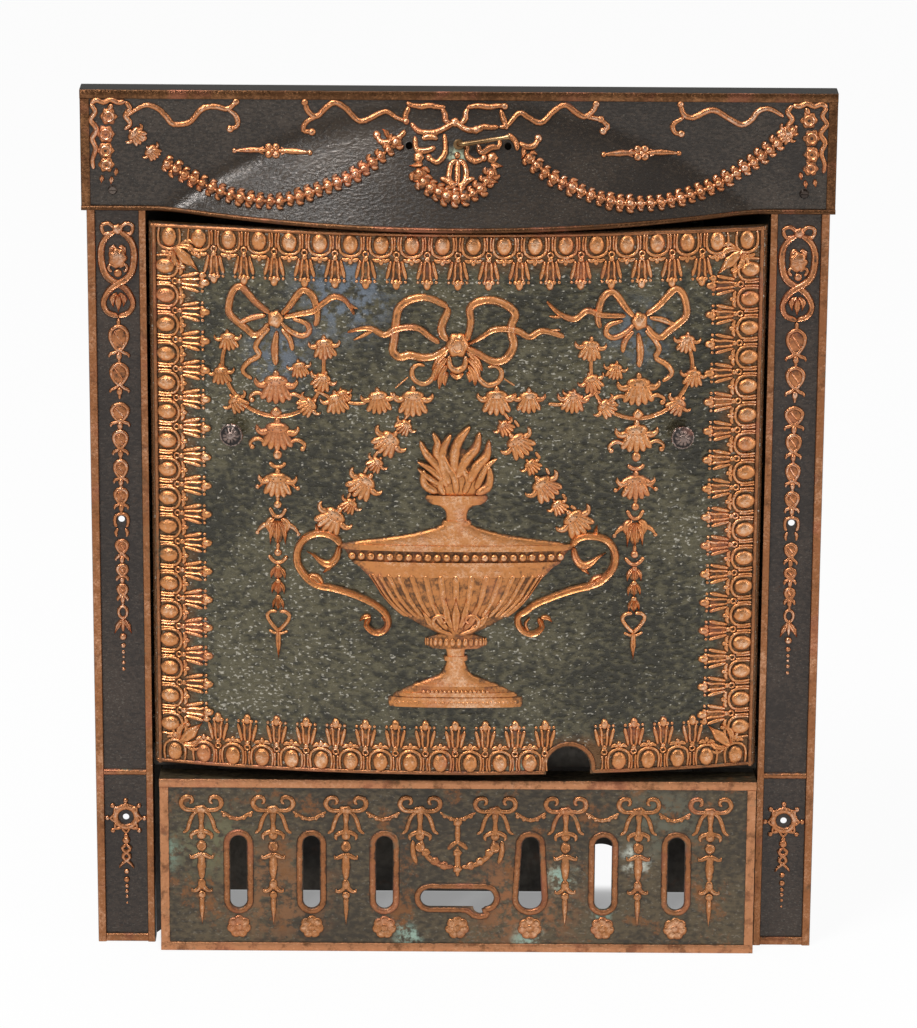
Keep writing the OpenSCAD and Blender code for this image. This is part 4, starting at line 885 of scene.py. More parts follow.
# %% [markdown]
# The first tree reads the turn and the size that each point carries and puts a copy of the unit there.
# A little chance in the sizes keeps a garland from looking ruled; the seed is fixed, so the same row
# comes out every time.
# %% The tree for spots along a line
def set_out_tree():
    plan = Plan("set_out", [("Unit", "Object"), ("Size", "Float"), ("Spread", "Float"), ("Seed", "Int"),
                            ("Finish", "Material")])
    unit = plan.tree.nodes.new("GeometryNodeObjectInfo")
    plan.tree.links.new(plan.given("Unit"), unit.inputs["Object"])
    turn = plan.node("GeometryNodeInputNamedAttribute", {"data_type": "FLOAT_VECTOR"}, "turn")
    size = plan.node("GeometryNodeInputNamedAttribute", {"data_type": "FLOAT"}, "size")
    low = plan.math("SUBTRACT", 1.0, plan.given("Spread"))
    high = plan.math("ADD", 1.0, plan.given("Spread"))
    chance = plan.node("FunctionNodeRandomValue", {"data_type": "FLOAT"}, Min=low, Max=high,
                       Seed=plan.given("Seed"))
    scale = plan.math("MULTIPLY", plan.math("MULTIPLY", size, plan.given("Size")), chance)
    turned = plan.node("FunctionNodeEulerToRotation", {}, turn)
    placed = plan.node("GeometryNodeInstanceOnPoints", {}, Points=plan.given("Geometry"),
                       Instance=unit.outputs["Geometry"], Rotation=turned, Scale=scale)
    return plan.close(placed)


# %% [markdown]
# The second tree makes its own points: each count gives an angle and a height, and these a place on the
# bow. Points at the pipe's notch are deleted before the units come. Each unit is rolled to face the
# field and turned to stand square to the sheet.
# %% The tree for a row on the bow
def bowed_row_tree():
    labels = [("Unit", "Object"), ("Count", "Int"), ("Angle Start", "Float"), ("Angle Step", "Float"),
              ("Height Start", "Float"), ("Height Step", "Float"), ("Radius", "Float"), ("Centre", "Float"),
              ("Roll", "Float"), ("Skip At", "Float"), ("Skip Half", "Float"), ("Finish", "Material")]
    plan = Plan("bowed_row", labels)
    unit = plan.tree.nodes.new("GeometryNodeObjectInfo")
    plan.tree.links.new(plan.given("Unit"), unit.inputs["Object"])
    index = plan.node("GeometryNodeInputIndex", {})
    angle = plan.math("MULTIPLY_ADD", index, plan.given("Angle Step"), plan.given("Angle Start"))
    height = plan.math("MULTIPLY_ADD", index, plan.given("Height Step"), plan.given("Height Start"))
    x = plan.math("MULTIPLY", plan.math("SINE", angle), plan.given("Radius"))
    back = plan.math("MULTIPLY", plan.math("COSINE", angle), plan.given("Radius"))
    y = plan.math("SUBTRACT", plan.given("Centre"), back)
    place = plan.node("ShaderNodeCombineXYZ", {}, x, y, height)
    points = plan.node("GeometryNodePoints", {}, Count=plan.given("Count"), Position=place)
    where = plan.node("GeometryNodeInputPosition", {})
    across = plan.node("ShaderNodeSeparateXYZ", {}, where)
    near = plan.math("ABSOLUTE", plan.math("SUBTRACT", across, plan.given("Skip At")))
    skipped = plan.math("LESS_THAN", near, plan.given("Skip Half"))
    kept = plan.node("GeometryNodeDeleteGeometry", {"domain": "POINT"}, Geometry=points, Selection=skipped)
    bow = plan.math("ARCSINE", plan.math("DIVIDE", across, plan.given("Radius")))
    turn = plan.node("ShaderNodeCombineXYZ", {}, math.pi / 2, plan.given("Roll"), bow)
    turned = plan.node("FunctionNodeEulerToRotation", {}, turn)
    placed = plan.node("GeometryNodeInstanceOnPoints", {}, Points=kept, Instance=unit.outputs["Geometry"],
                       Rotation=turned)
    return plan.close(placed)


# %% [markdown]
# The inputs of a tree are set by their identifiers before the object is first evaluated, and the result
# is taken as a plain mesh. The units themselves are drawn flat, as all the ornament is, around the
# point that will sit on the line.
# %% Running the trees, and the first two units
def run_tree(tree, base, values):
    """Evaluates a tree on a base mesh and returns the plain mesh that it makes."""
    holder = in_scene("holder", base)
    work = holder.modifiers.new("plan", "NODES")
    work.node_group = tree
    names = {i.name: i.identifier for i in tree.interface.items_tree if i.in_out == "INPUT"}
    for label, value in values.items():
        work[names[label]] = value
    mesh = baked(holder)
    shade(mesh)
    return mesh


def unit_object(name, relief):
    return in_scene(name, plain_mesh(name, relief.flat() * MM, relief.faces, cover_copper, relief.rise()))


SET_OUT = set_out_tree()
BOWED_ROW = bowed_row_tree()


def set_out(name, unit, spots, place, finish, home, spread=0.06, seed=3):
    """Spots are (x, z, turn, size, height) in millimetres and radians."""
    base = bpy.data.meshes.new(name + "_places")
    spots = np.asarray(spots, float)
    p = place(spots[:, 0], spots[:, 1], spots[:, 4])
    px = place(spots[:, 0] + 0.5, spots[:, 1], spots[:, 4]) - p
    pz = place(spots[:, 0], spots[:, 1] + 0.5, spots[:, 4]) - p
    base.from_pydata(p.tolist(), [], [])
    turns, sizes = [], []
    for ex, ez, angle, size in zip(px, pz, spots[:, 2], spots[:, 3]):
        ex, ez = Vector(ex).normalized(), Vector(ez).normalized()
        out = ex.cross(ez).normalized()
        ez = out.cross(ex)
        across = math.cos(angle) * ex + math.sin(angle) * ez
        turns += list(Matrix((across, out.cross(across), out)).transposed().to_euler())
        sizes.append(size)
    base.attributes.new("turn", "FLOAT_VECTOR", "POINT").data.foreach_set("vector", turns)
    base.attributes.new("size", "FLOAT", "POINT").data.foreach_set("value", sizes)
    mesh = run_tree(SET_OUT, base, {"Unit": unit, "Size": 1.0, "Spread": spread, "Seed": seed, "Finish": finish})
    mesh.name = name
    show(name, mesh, *home)


def along_line(points, pitch, size):
    """Spots at an even pitch along a smooth line, each turned square to it."""
    line, far, _ = smooth_line(points, pitch)
    count = max(1, int(round(far[-1] / pitch)))
    at = (np.arange(count) + 0.5) * far[-1] / count
    x, z = [np.interp(at, far, line[:, k]) for k in (0, 1)]
    dx, dz = [np.interp(at + 0.6, far, line[:, k]) - np.interp(at - 0.6, far, line[:, k]) for k in (0, 1)]
    return [(a, b, math.atan2(d, c) + math.pi / 2, size, 0.0) for a, b, c, d in zip(x, z, dx, dz)]


bead = Relief()
bead.dome(0, 0, 1.0, 0.85, sides=10)
bead_unit = unit_object("bead_unit", bead)
husk = Relief()
# The husk's disc under its leaves is darker: painted shade between and under the leaves.
husk.dome(0, 0, 4.4, 1.9, tall=3.4, sides=10, shade=0.5)
husk.pair([(1.4, 1.6), (3.8, 1.0), (4.6, -1.6)], [1.3, 1.6, 1.1], 2.4, step=3)
husk.dome(0, 0.4, 2.3, 3.0, tall=2.8, sides=8)
husk.stroke([(0, -1.6), (0, -4.4)], [1.6, 1.3], 2.3, step=3)
husk_unit = unit_object("husk_unit", husk)
print("units ready:", len(bead.faces), "and", len(husk.faces), "faces")
# %% [markdown]
# The cover's border is an old egg and dart: eggs in husk cups with a dart between each pair, and on the
# inner side fringed bells that point at the field. One egg unit and one bell unit are drawn once, and
# the row tree sets them out along the bow at the top and foot and up both sides. The pipe's notch
# leaves a gap in the lower rows.
# %% Egg and dart border
MIDDLE = 25.0
egg = Relief()
egg.dome(0, 11.0 - MIDDLE, 6.8, 3.6, tall=8.7, sides=16)
egg.stroke([(-8.6, 3.4 - MIDDLE), (-9.4, 11 - MIDDLE), (-7.8, 18.5 - MIDDLE), (0, 21.8 - MIDDLE), (7.8, 18.5 - MIDDLE),
            (9.4, 11 - MIDDLE), (8.6, 3.4 - MIDDLE)], [1.3, 1.5, 1.7, 1.5, 1.3], 2.2, step=3.6)
egg.pair([(0.4, 23.0 - MIDDLE), (3.4, 25.0 - MIDDLE), (7.4, 23.4 - MIDDLE)], [1.7, 2.2, 1.6], 2.0, step=3)
egg.dome(0, 26.2 - MIDDLE, 2.2, 1.9, tall=2.8, sides=8)
bell = Relief()
# A low dark body under the bell's ribs: painted shade between the ribs.
bell.dome(0, 33.0 - MIDDLE, 8.0, 1.2, tall=9.5, sides=12, shade=0.25)
bell.pair([(1.9, 3.4 - MIDDLE), (1.3, 9.5 - MIDDLE), (1.9, 16.2 - MIDDLE)], [1.4, 1.0, 1.4], 2.2, step=4)
bell.pair([(1.5, 24.6 - MIDDLE), (2.6, 31 - MIDDLE), (2.2, 36 - MIDDLE), (3.4, 41.4 - MIDDLE)],
          [1.3, 1.7, 1.5, 1.6], 2.6, step=5)
bell.pair([(4.6, 24.4 - MIDDLE), (5.8, 31 - MIDDLE), (8.2, 40.6 - MIDDLE)], [1.3, 1.9, 2.2, 1.4], 2.6, step=5)
bell.dome_pair(3.2, 42.8 - MIDDLE, 2.2, 2.3, sides=8)
bell.dome_pair(7.6, 42.8 - MIDDLE, 1.6, 1.6, sides=6)
bell.stroke(ring_points(0, 19.4 - MIDDLE, 2.3, 8), 1.1, 2.2, closed=True, step=1.8)
bell.dome(0, 23.4 - MIDDLE, 2.6, 2.4, sides=8)
bell.dome(0, 44.8 - MIDDLE, 3.5, 3.2, tall=5.0, sides=10)
egg_unit = unit_object("egg_unit", egg)
bell_unit = unit_object("bell_unit", bell)
EDGE_ANGLE = math.asin((HALF_W - MIDDLE) / BOW_R)
PITCH_X, PITCH_Z = 25.58, 25.33


def bow_angle(x):
    return math.asin(x / BOW_R)


def border_row(name, unit, count, side, skip=0.0):
    """Side is foot, top, left or right; the row is centred on that side."""
    values = {"Unit": unit, "Count": count, "Radius": BOW_R * MM, "Centre": (BOW_Y + FACE_Y) * MM,
              "Skip At": NOTCH_X * MM, "Skip Half": skip * MM, "Finish": cover_copper}
    half = (count - 1) / 2
    if side in ("foot", "top"):
        step = 2 * bow_angle(PITCH_X / 2)
        level = LOW + MIDDLE if side == "foot" else HIGH - MIDDLE
        values.update({"Angle Start": -half * step, "Angle Step": step, "Height Start": level * MM,
                       "Height Step": 0.0, "Roll": 0.0 if side == "foot" else math.pi})
    else:
        sign = -1 if side == "left" else 1
        values.update({"Angle Start": sign * EDGE_ANGLE, "Angle Step": 0.0,
                       "Height Start": ((LOW + HIGH) / 2 - half * PITCH_Z) * MM, "Height Step": PITCH_Z * MM,
                       "Roll": -sign * math.pi / 2})
    mesh = run_tree(BOWED_ROW, bpy.data.meshes.new(name + "_base"), values)
    mesh.name = name
    show(name, mesh, *COVER)


for side, eggs, bells, skips in (("foot", 20, 17, (24.0, 14.0)), ("top", 20, 17, (-1.0, -1.0)),
                                 ("left", 17, 16, (-1.0, -1.0)), ("right", 17, 16, (-1.0, -1.0))):
    border_row("eggs_" + side, egg_unit, eggs, side, skips[0])
    border_row("bells_" + side, bell_unit, bells, side, skips[1])
# %% [markdown]
# The corners of the border are filled by a leaf on the slant. The rest of the cover's ornament hangs as
# in plasterwork: three ribbon bows, flower garlands slung between them, drops of bells below and an urn
# in the middle. Flowers are a small motif that is drawn once in code and placed at any size and turn.
# %% Motifs for the garlands
MID_Z = 411.0


def on_field(x, b, h=0.0):
    return on_cover(x, np.asarray(b) + MID_Z, h)


def turned_to(x, z, size, turn):
    c, s = math.cos(turn), math.sin(turn)
    return lambda *pairs: [(x + (u * c - v * s) * size, z + (u * s + v * c) * size) for u, v in pairs]


def flower(r, x, z, size, turn=0.0):
    """A full bell with a ruffled mouth, two pits in its collar and a pointed wing to each side, or a small bud."""
    s = size / 2
    at = turned_to(x, z, s, turn)
    if size < 12.5:
        (top,), (low,) = at((0, 0.35)), at((0, -0.35))
        r.dome(*top, 0.5 * s, 3.0, sides=10)
        # The bud's lower dome is a little darker: painted shade.
        r.dome(*low, 0.75 * s, 2.6, tall=0.6 * s, turn=turn, sides=12, shade=0.8)
        for k in (-1, 1):
            r.stroke(at((k * 0.3, -0.2), (k * 0.85, 0.15), (k * 1.15, 0.6)), [0.2 * s, 0.2 * s, 0.1 * s], 2.4, step=2)
        return
    (collar,) = at((0, 0.34))
    for k in (-2, -1, 0, 1, 2):
        long = 0.95 - 0.06 * k * k
        r.stroke(at((k * 0.14, 0.3), (k * 0.27, -0.3), (k * 0.4, -long)), [0.17 * s, 0.25 * s, 0.2 * s], 3.2, step=2.2)
    r.dome(*collar, 0.68 * s, 3.7, tall=0.34 * s, turn=turn, sides=14)
    for k in (-1, 1):
        r.stroke(at((k * 0.45, 0.16), (k * 0.86, 0.06), (k * 1.1, 0.26), (k * 1.12, 0.5)),
                 [0.22 * s, 0.22 * s, 0.16 * s, 0.08 * s], 2.8, step=2)
        # Each pit is a small dark dome: painted shade in a hollow.
        (pit,) = at((k * 0.22, 0.28))
        r.dome(*pit, 0.1 * s, 4.0, sides=6, shade=0.1)
    r.stroke(at((0, 0.95), (0, 0.55)), [0.15 * s, 0.24 * s], 3.4, step=2)


def bell_drop(r, x, z, wide, tall, turn=0.0):
    """A tulip of three leaves, its mouth downward."""
    at = turned_to(x, z, 1.0, turn)
    # A darker body under the three leaves: painted shade between them.
    (body,) = at((0, -0.45 * tall))
    r.dome(*body, 0.4 * wide, 2.0, tall=0.5 * tall, turn=turn, sides=14, shade=0.5)
    for k in (-1, 1):
        r.stroke(at((k * 0.1 * wide, 0), (k * 0.42 * wide, -0.45 * tall), (k * 0.5 * wide, -tall)),
                 [0.12 * wide, 0.2 * wide, 0.06 * wide], 2.4, "leaf", "rp", step=2.5)
    r.stroke(at((0, 0), (0, -0.5 * tall), (0, -1.1 * tall)), [0.14 * wide, 0.22 * wide, 0.08 * wide], 3.0, "leaf",
             "rp", step=2.5)


def curl(r, x, z, reach, drop, half=1.6, height=2.2):
    """A side curl that leaves the middle, rises and turns down to a knob; reach may be negative."""
    r.stroke([(x, z), (x + 0.5 * reach, z + 0.25 * abs(reach)), (x + 0.95 * reach, z + 0.05 * abs(reach)),
              (x + reach, z - drop)], [half * 0.8, half, half * 0.7], height, step=2)
    r.dome(x + 0.88 * reach, z - drop, half * 1.15, height * 1.05, sides=8)


sample = Relief()
flower(sample, 0, 0, 28)
print("a full flower takes", len(sample.faces), "faces")
# %% [markdown]
# A bow is a ribbon, so its strokes have a hollow down the middle and are widest in the loops. The
# control points below were set on a squared drawing of the cover, in millimetres from its middle.
# %% Bows and ribbons of the cover
bows = Relief()
WIDE = [2.8, 3.7, 3.7, 3.7, 2.8]
for line in (
    [(-8, 174), (-20, 180), (-29, 182), (-41, 179), (-49, 172), (-51, 163), (-53, 144), (-54, 135), (-48, 130),
     (-40, 132), (-29, 130), (-20, 131), (-12, 136), (-7, 139)],
    [(-8, 174), (-9, 168), (-13, 159), (-13, 151), (-8, 145)],
    [(6, 144), (9, 150), (11, 162), (10, 172), (16, 178), (28, 180), (40, 176), (48, 168), (45, 159), (45, 150),
     (47, 142),
     (43, 132), (36, 127), (27, 128), (17, 134), (7, 139)],
):
    bows.stroke(line, WIDE, 3.0, "ribbon", step=3)
for line in (
    [(-92, 151), (-80, 154), (-71, 154), (-61, 149), (-52, 154), (-41, 156), (-32, 155), (-23, 148), (-15, 143)],
    [(9, 142), (20, 148), (29, 154), (41, 155), (51, 153), (60, 148), (69, 153), (77, 152), (89, 148)],
):
    bows.stroke(line, [1.0, 2.6, 3.0, 2.8, 2.4], 2.6, "ribbon", step=3, lift=0.4)
bows.stroke([(-87, 144), (-79, 148), (-71, 153)], [0.9, 2.0, 2.2], 2.2, step=3)
bows.stroke([(86, 154), (78, 153), (70, 153)], [0.9, 1.8, 2.0], 2.2, step=3)
for k, foot in ((-1, 103), (1, 106)):
    for root, tip in (((8, 136), (21, 119)), ((9, 130), (19, foot + 7)), ((9, 124), (15, foot)),
                      ((8, 118), (10, foot + 3))):
        mid = ((root[0] + tip[0]) / 2 + 2, (root[1] + tip[1]) / 2)
        bows.stroke([(k * q[0], q[1]) for q in (root, mid, tip)], [2.2, 3.2, 1.3], 2.8, "leaf", step=3)
for line in ([(-27, 123), (-33, 124), (-38, 119), (-36, 111), (-28, 107), (-21, 112), (-17, 123), (-12, 132)],
             [(25, 122), (32, 123), (37, 118), (35, 110), (27, 106), (20, 110), (15, 119), (11, 131)]):
    bows.stroke(line, [1.6, 2.6, 2.6, 2.6, 1.8], 2.4, step=3)
bows.stroke([(-7, 132), (-6, 123), (0, 119), (6, 123), (7, 132)], [2.2, 3.0, 3.6, 3.0, 2.2], 3.0, step=2.5)
bows.stroke([(-6, 117), (0, 113), (5, 117)], [1.6, 2.6, 1.6], 2.4, "leaf", step=2.5)
bows.stroke([(-41, 113), (-52, 103)], 0.9, 1.2)
bows.stroke([(39, 112), (48, 106)], 0.9, 1.2)
bows.dome(0, 141, 9.6, 4.6, tall=11, lobes=6, depth=0.1, sides=24)
bows.stroke([(-5, 141), (-1, 146), (4, 144), (4, 138), (-1, 136), (-4, 139)], 1.3, 1.6, lift=4.0, step=2)
side_bow = Relief()
for line in (
    [(-157, 165), (-168, 173), (-176, 182), (-182, 187), (-188, 182), (-191, 172), (-191, 163), (-184, 156),
     (-176, 150), (-170, 145), (-163, 149), (-158, 156)],
    [(-147, 164), (-140, 172), (-134, 181), (-128, 186), (-121, 181), (-118, 172), (-117, 162), (-119, 155)],
):
    side_bow.stroke(line, [2.4, 3.2, 3.2, 3.2, 2.4], 2.8, "ribbon", step=3)
for line in (
    [(-183, 155), (-172, 160), (-160, 163)],
    [(-148, 158), (-140, 150), (-130, 146), (-124, 150), (-126, 157), (-138, 161)],
    [(-157, 152), (-165, 143), (-169, 135), (-166, 128), (-175, 122), (-180, 115), (-178, 111), (-172, 107)],
    [(-147, 152), (-140, 143), (-138, 133)],
):
    side_bow.stroke(line, [2.0, 2.8, 2.8, 2.0], 2.6, step=3)
side_bow.stroke([(-151, 150), (-153, 134), (-152, 120)], [2.0, 3.6, 2.6], 2.8, "leaf", step=3)
side_bow.dome(-152, 160, 7, 4.2, tall=8, lobes=5, depth=0.1, sides=20)
bows.both(side_bow)
for line in (
    [(-145, 162), (-132, 165), (-120, 168), (-112, 175), (-103, 181), (-95, 179), (-89, 172), (-86, 166)],
    [(140, 165), (120, 166), (108, 170), (98, 163), (88, 166), (80, 172), (74, 179)],
):
    bows.stroke(line, [2.0, 2.8, 2.8, 1.2], 2.5, "ribbon", step=3, lift=0.4)
bows.stroke([(-95, 178), (-88, 173), (-83, 171)], [2.0, 1.6, 0.8], 2.2)
bows.stroke([(88, 166), (82, 165), (76, 166)], [2.0, 1.6, 0.8], 2.2)
lay("cover_bows", bows, on_field, cover_copper, COVER)
# %% [markdown]
# Garlands are flowers on a line: level between the bows, in a U under each side bow, and slanting from
# the middle bow down past the urn's handles.
# %% Garlands of the cover
swags = Relief()
for x, b, size, turn in ((-37, 92, 29, 0), (-66, 92, 25, 0.1), (-101, 90, 23, 0.2), (33, 93, 28, 0), (60, 93, 24, 0),
                         (97, 92, 23, -0.1), (-44, 70, 17, -0.7), (-58, 56, 27, -0.7), (-68, 37, 17, -0.7),
                         (-79, 18, 28, -0.68), (-90, 0, 17, -0.65), (-105, -13, 29, -0.65), (40, 70, 17, 0.7),
                         (52, 55, 27, 0.72), (63, 36, 17, 0.7), (74, 17, 28, 0.68), (86, 0, 17, 0.65),
                         (101, -14, 29, 0.65)):
    flower(swags, x, b, size, turn)
for line in ([(-92, 90), (-84, 89), (-76, 90)], [(76, 90), (84, 89), (90, 90)], [(-56, 99), (-53, 96), (-48, 95)],
             [(48, 98), (44, 96), (40, 95)], [(-120, 100), (-113, 97), (-106, 93)],
             [(120, 100), (112, 97), (105, 93)]):
    swags.stroke(line, 1.8, 2.2)
for side in (-1, 1):
    for a, b in (((-38, 84), (-44, 76)), ((-52, 70), (-48, 76)), ((-66, 48), (-70, 42)), ((-75, 34), (-78, 28)),
                 ((-89, 11), (-92, 6)), ((-96, 0), (-101, -3))):
        swags.stroke([(-side * a[0], a[1]), (-side * b[0], b[1])], 1.7, 2.1)
# %% [markdown]
# The drop below each side bow is drawn on the left and mirrored: a U of flowers, then bells and beads
# down to a heart and a long point. What is alike on both sides of its middle line is drawn as a pair.
# %% The side drops
drop = Relief()
drop.stroke([(-194, 138), (-197, 118), (-190, 98), (-178, 84), (-165, 77.5), (-152, 75.5), (-139, 77.5), (-127, 84),
             (-116, 98), (-112, 116), (-112, 136)], 1.9, 2.2, "ribbon", step=3)
for x, b, size, turn in ((-192, 140, 20, 0.1), (-198, 110, 20, 0.15), (-185, 86, 20, 0.7), (-125, 86, 20, -0.9),
                         (-113, 108, 20, -0.4), (-111, 137, 23, 0.1), (-132, 118, 18, 0.2), (-96, 96, 15, 0.3)):
    flower(drop, x, b, size, turn)
flower(drop, -152, 101, 31, 0)
curl(drop, -160, 92, -14, 3, 2.2, 2.8)
curl(drop, -144, 92, 14, 3, 2.2, 2.8)
drop.dome(-152, 79, 4.6, 3.2, lobes=4, sides=12)
flower(drop, -151, 60, 31, 0)
curl(drop, -160, 52, -14, 4, 2.2, 2.8)
curl(drop, -142, 52, 14, 4, 2.2, 2.8)
drop.dome(-151, 42, 4.0, 3.2, tall=4.6, sides=12)
drop.stroke([(-158, 35), (-154, 31.5), (-148, 31.5), (-144, 35)], 2.0, 2.4, step=3)
flower(drop, -151, 17, 28, 0)
drop.pair([(0, 24), (9, 20), (17, 11)], [2.4, 3.4, 1.2], 2.6, "leaf", "rp", about=-151)
drop.dome_pair(17, 13, 2.2, 2.4, sides=8, about=-151)
drop.stroke([(-151, 7), (-151, 1)], 1.9, 2.3)
drop.dome(-151, -2, 3.6, 2.9, sides=12)
drop.stroke([(-158, -5), (-154, -12), (-148, -12), (-144, -5)], 1.9, 2.4, step=3)
drop.pair([(3, -14), (8, -19), (6, -30)], [2.6, 3.6, 1.2], 2.8, "leaf", "rp", about=-151)
drop.pair([(3, -18), (12, -21), (18, -27)], [1.8, 2.6, 1.0], 2.4, about=-151)
drop.dome_pair(17.4, -27.5, 2.0, 2.2, sides=8, about=-151)
bell_drop(drop, -151, -16, 13, 22)
drop.stroke([(-151, -36), (-151, -42)], 1.8, 2.2)
drop.dome(-151, -44.5, 3.4, 2.8, sides=12)
drop.stroke([(-159, -47), (-155, -52), (-151, -53.5), (-147, -52), (-143, -47)], 1.9, 2.4, step=3)
for b, wide in ((-57, 12), (-70, 10.5), (-84, 9)):
    bell_drop(drop, -151, b, wide, 11.5)
    drop.dome(-151, b, 2.6, 2.6, sides=10)
drop.pair([(1, -97), (6, -97), (9.6, -101), (6, -108), (0, -114.5)], 1.9, 2.5, step=2.5, about=-151)
drop.pair([(8, -114), (4, -116), (0, -117)], 1.5, 2.2, about=-151)
drop.stroke([(-151, -114), (-151, -124), (-151, -139)], [2.4, 2.6, 1.0], 2.8, "leaf", "rp")
swags.both(drop)
print("a side drop holds", len(drop.faces), "faces")
# %% [markdown]
# A leaf of three blades lies on the slant in each corner of the border, where two rows of eggs would
# run into each other. It is drawn upright and turned to point at the corner.
# %% The corner leaves
for k, j in ((-1, -1), (-1, 1), (1, -1), (1, 1)):
    top = 237.5 if j > 0 else -240.5
    at = turned_to(k * 243, top - j * 13, 1.0, math.atan2(-j, -k) - math.pi / 2)
    swags.stroke(at((0, 9), (0, 20), (0, 37)), [3.0, 5.6, 2.0], 3.2, "leaf", "rp")
    for s in (-1, 1):
        swags.stroke(at((s * 2, 10), (s * 9, 18), (s * 8, 30)), [1.8, 3.4, 1.2], 2.6, "leaf", "rp")
        swags.stroke(at((s * 5, 11), (s * 12, 13), (s * 15, 20)), [1.4, 2.2, 1.0], 2.2)
    (tip,) = at((0, 42))
    swags.dome(*tip, 3.2, 2.6, sides=10)
lay("cover_garlands", swags, on_field, cover_copper, COVER)
print("cover garlands hold", len(swags.faces), "faces")
# %% [markdown]
# The urn is the deepest relief on the cover. Its body is turned work seen from the side, so each part is
# a stroke that runs down the middle and whose width follows the profile; the bowl's section is fluted.
# Flames, handles, leaves and a row of beads are laid over it.
# %% Turned work in relief
def barrel(count):
    """The half-round section of turned work."""
    a = np.linspace(-math.pi / 2, math.pi / 2, count)
    form = [(float(t), float(f)) for t, f in zip(np.sin(a), np.cos(a) ** 0.5)]
    return [(-1, -0.5)] + [(t, max(f, 0.02)) for t, f in form[1:-1]] + [(1, -0.5)]


SECTIONS["turned"] = barrel(19)


def turned(r, profile, height, section="turned", shade=1.0):
    """Profile is (height, half width) from the top down, in the drawing's millimetres."""
    z = np.array([p[0] for p in profile], float)
    w = np.array([p[1] for p in profile], float)
    count = max(6, int(abs(z[-1] - z[0]) / 1.2))
    level = np.linspace(z[0], z[-1], count)
    half = np.interp(-level, -z, w)
    r.stroke([(0, v) for v in np.linspace(z[0], z[-1], 4)], half, height, section, "ff", step=1.3, shade=shade)


print("the turned section has", len(SECTIONS["turned"]), "points")
# %% [markdown]
# From the top down come the mouth with its neck, the spreading lid, the beaded band, the fluted bowl, a
# ring of lobes, the stem and the stepped foot. Each part laps a little over the next, as mouldings do.
# %% The urn's body
urn = Relief()


def gadroons(z, half, wide, tall, height, lift):
    """A row of lobes across a moulding, smaller towards its ends."""
    for a in np.linspace(-1.35, 1.35, int(half / wide * 1.25) + 2):
        urn.dome(half * math.sin(a), z, wide * max(math.cos(a), 0.35), height, tall=tall, sides=8,
                 lift=lift * math.cos(a))


turned(urn, [(10.5, 25), (9.5, 26.5), (7, 26.5), (4.5, 25), (2.5, 21)], 4.8)
turned(urn, [(3, 20), (0, 12), (-4, 9.5), (-9, 8.5), (-12, 9.5)], 4.2)
turned(urn, [(-11.5, 11), (-14, 13), (-16, 12)], 4.8)
turned(urn, [(-15.5, 13), (-19, 19), (-23, 34), (-26, 48), (-29, 68), (-32, 88), (-34.5, 97)], 4.4)
turned(urn, [(-33.5, 98), (-35, 100), (-37.5, 100), (-38.5, 97)], 5.4)
# A dark band under the beads: painted shade between them.
turned(urn, [(-38.2, 96), (-44, 92), (-49, 88)], 2.6, shade=0.25)
turned(urn, [(-48.5, 88.5), (-50, 89), (-52, 86)], 5.0)
# The shoulder is a little darker: painted shade.
turned(urn, [(-51.5, 86), (-54.5, 82), (-58, 79), (-62, 75)], 4.4, shade=0.9)
BOWL = [(-60, 76), (-70, 69.5), (-80, 63), (-90, 53.5), (-100, 39), (-107, 26), (-112, 15)]
# The bowl is darker under its flutes: painted shade in the grooves.
turned(urn, BOWL, 4.0, shade=0.5)
flute = [(z, w) for z, w in BOWL if z >= -90] + [(-97, 44)]
for k in range(-8, 9):
    round_at, narrow = k / 8 * 1.42, math.cos(k / 8 * 1.3)
    urn.stroke([(math.sin(round_at) * (w - 1.5), z) for z, w in flute], [3.5 * narrow, 3.2 * narrow, 1.8], 1.6,
               lift=3.9 * math.cos(round_at) ** 0.5, step=3)
# The ring is darker under its lobes: painted shade between them.
turned(urn, [(-111.5, 12), (-115, 22), (-118, 27), (-122, 27), (-125.5, 20)], 3.6, shade=0.4)
gadroons(-119.5, 26, 2.6, 4.2, 1.8, 3.4)
turned(urn, [(-125, 9), (-129, 7.6), (-138, 8), (-142, 9.5)], 4.4)
turned(urn, [(-132, 9.8), (-134, 10.4), (-136, 9.8)], 5.0)
turned(urn, [(-141, 9.5), (-146, 11), (-150, 15), (-154, 26), (-157, 32)], 4.6)
turned(urn, [(-156.5, 33), (-158, 36), (-159, 37)], 4.9)
# The foot's lower step is darker: painted shade.
turned(urn, [(-158.8, 36), (-161, 42), (-166, 50), (-170, 55)], 3.4, shade=0.5)
turned(urn, [(-165, 50), (-167, 53), (-168.5, 53)], 4.4)
turned(urn, [(-169.5, 57), (-171, 57.5), (-177, 57.5), (-178, 56.5)], 4.4)
print("the urn's body holds", len(urn.faces), "faces")
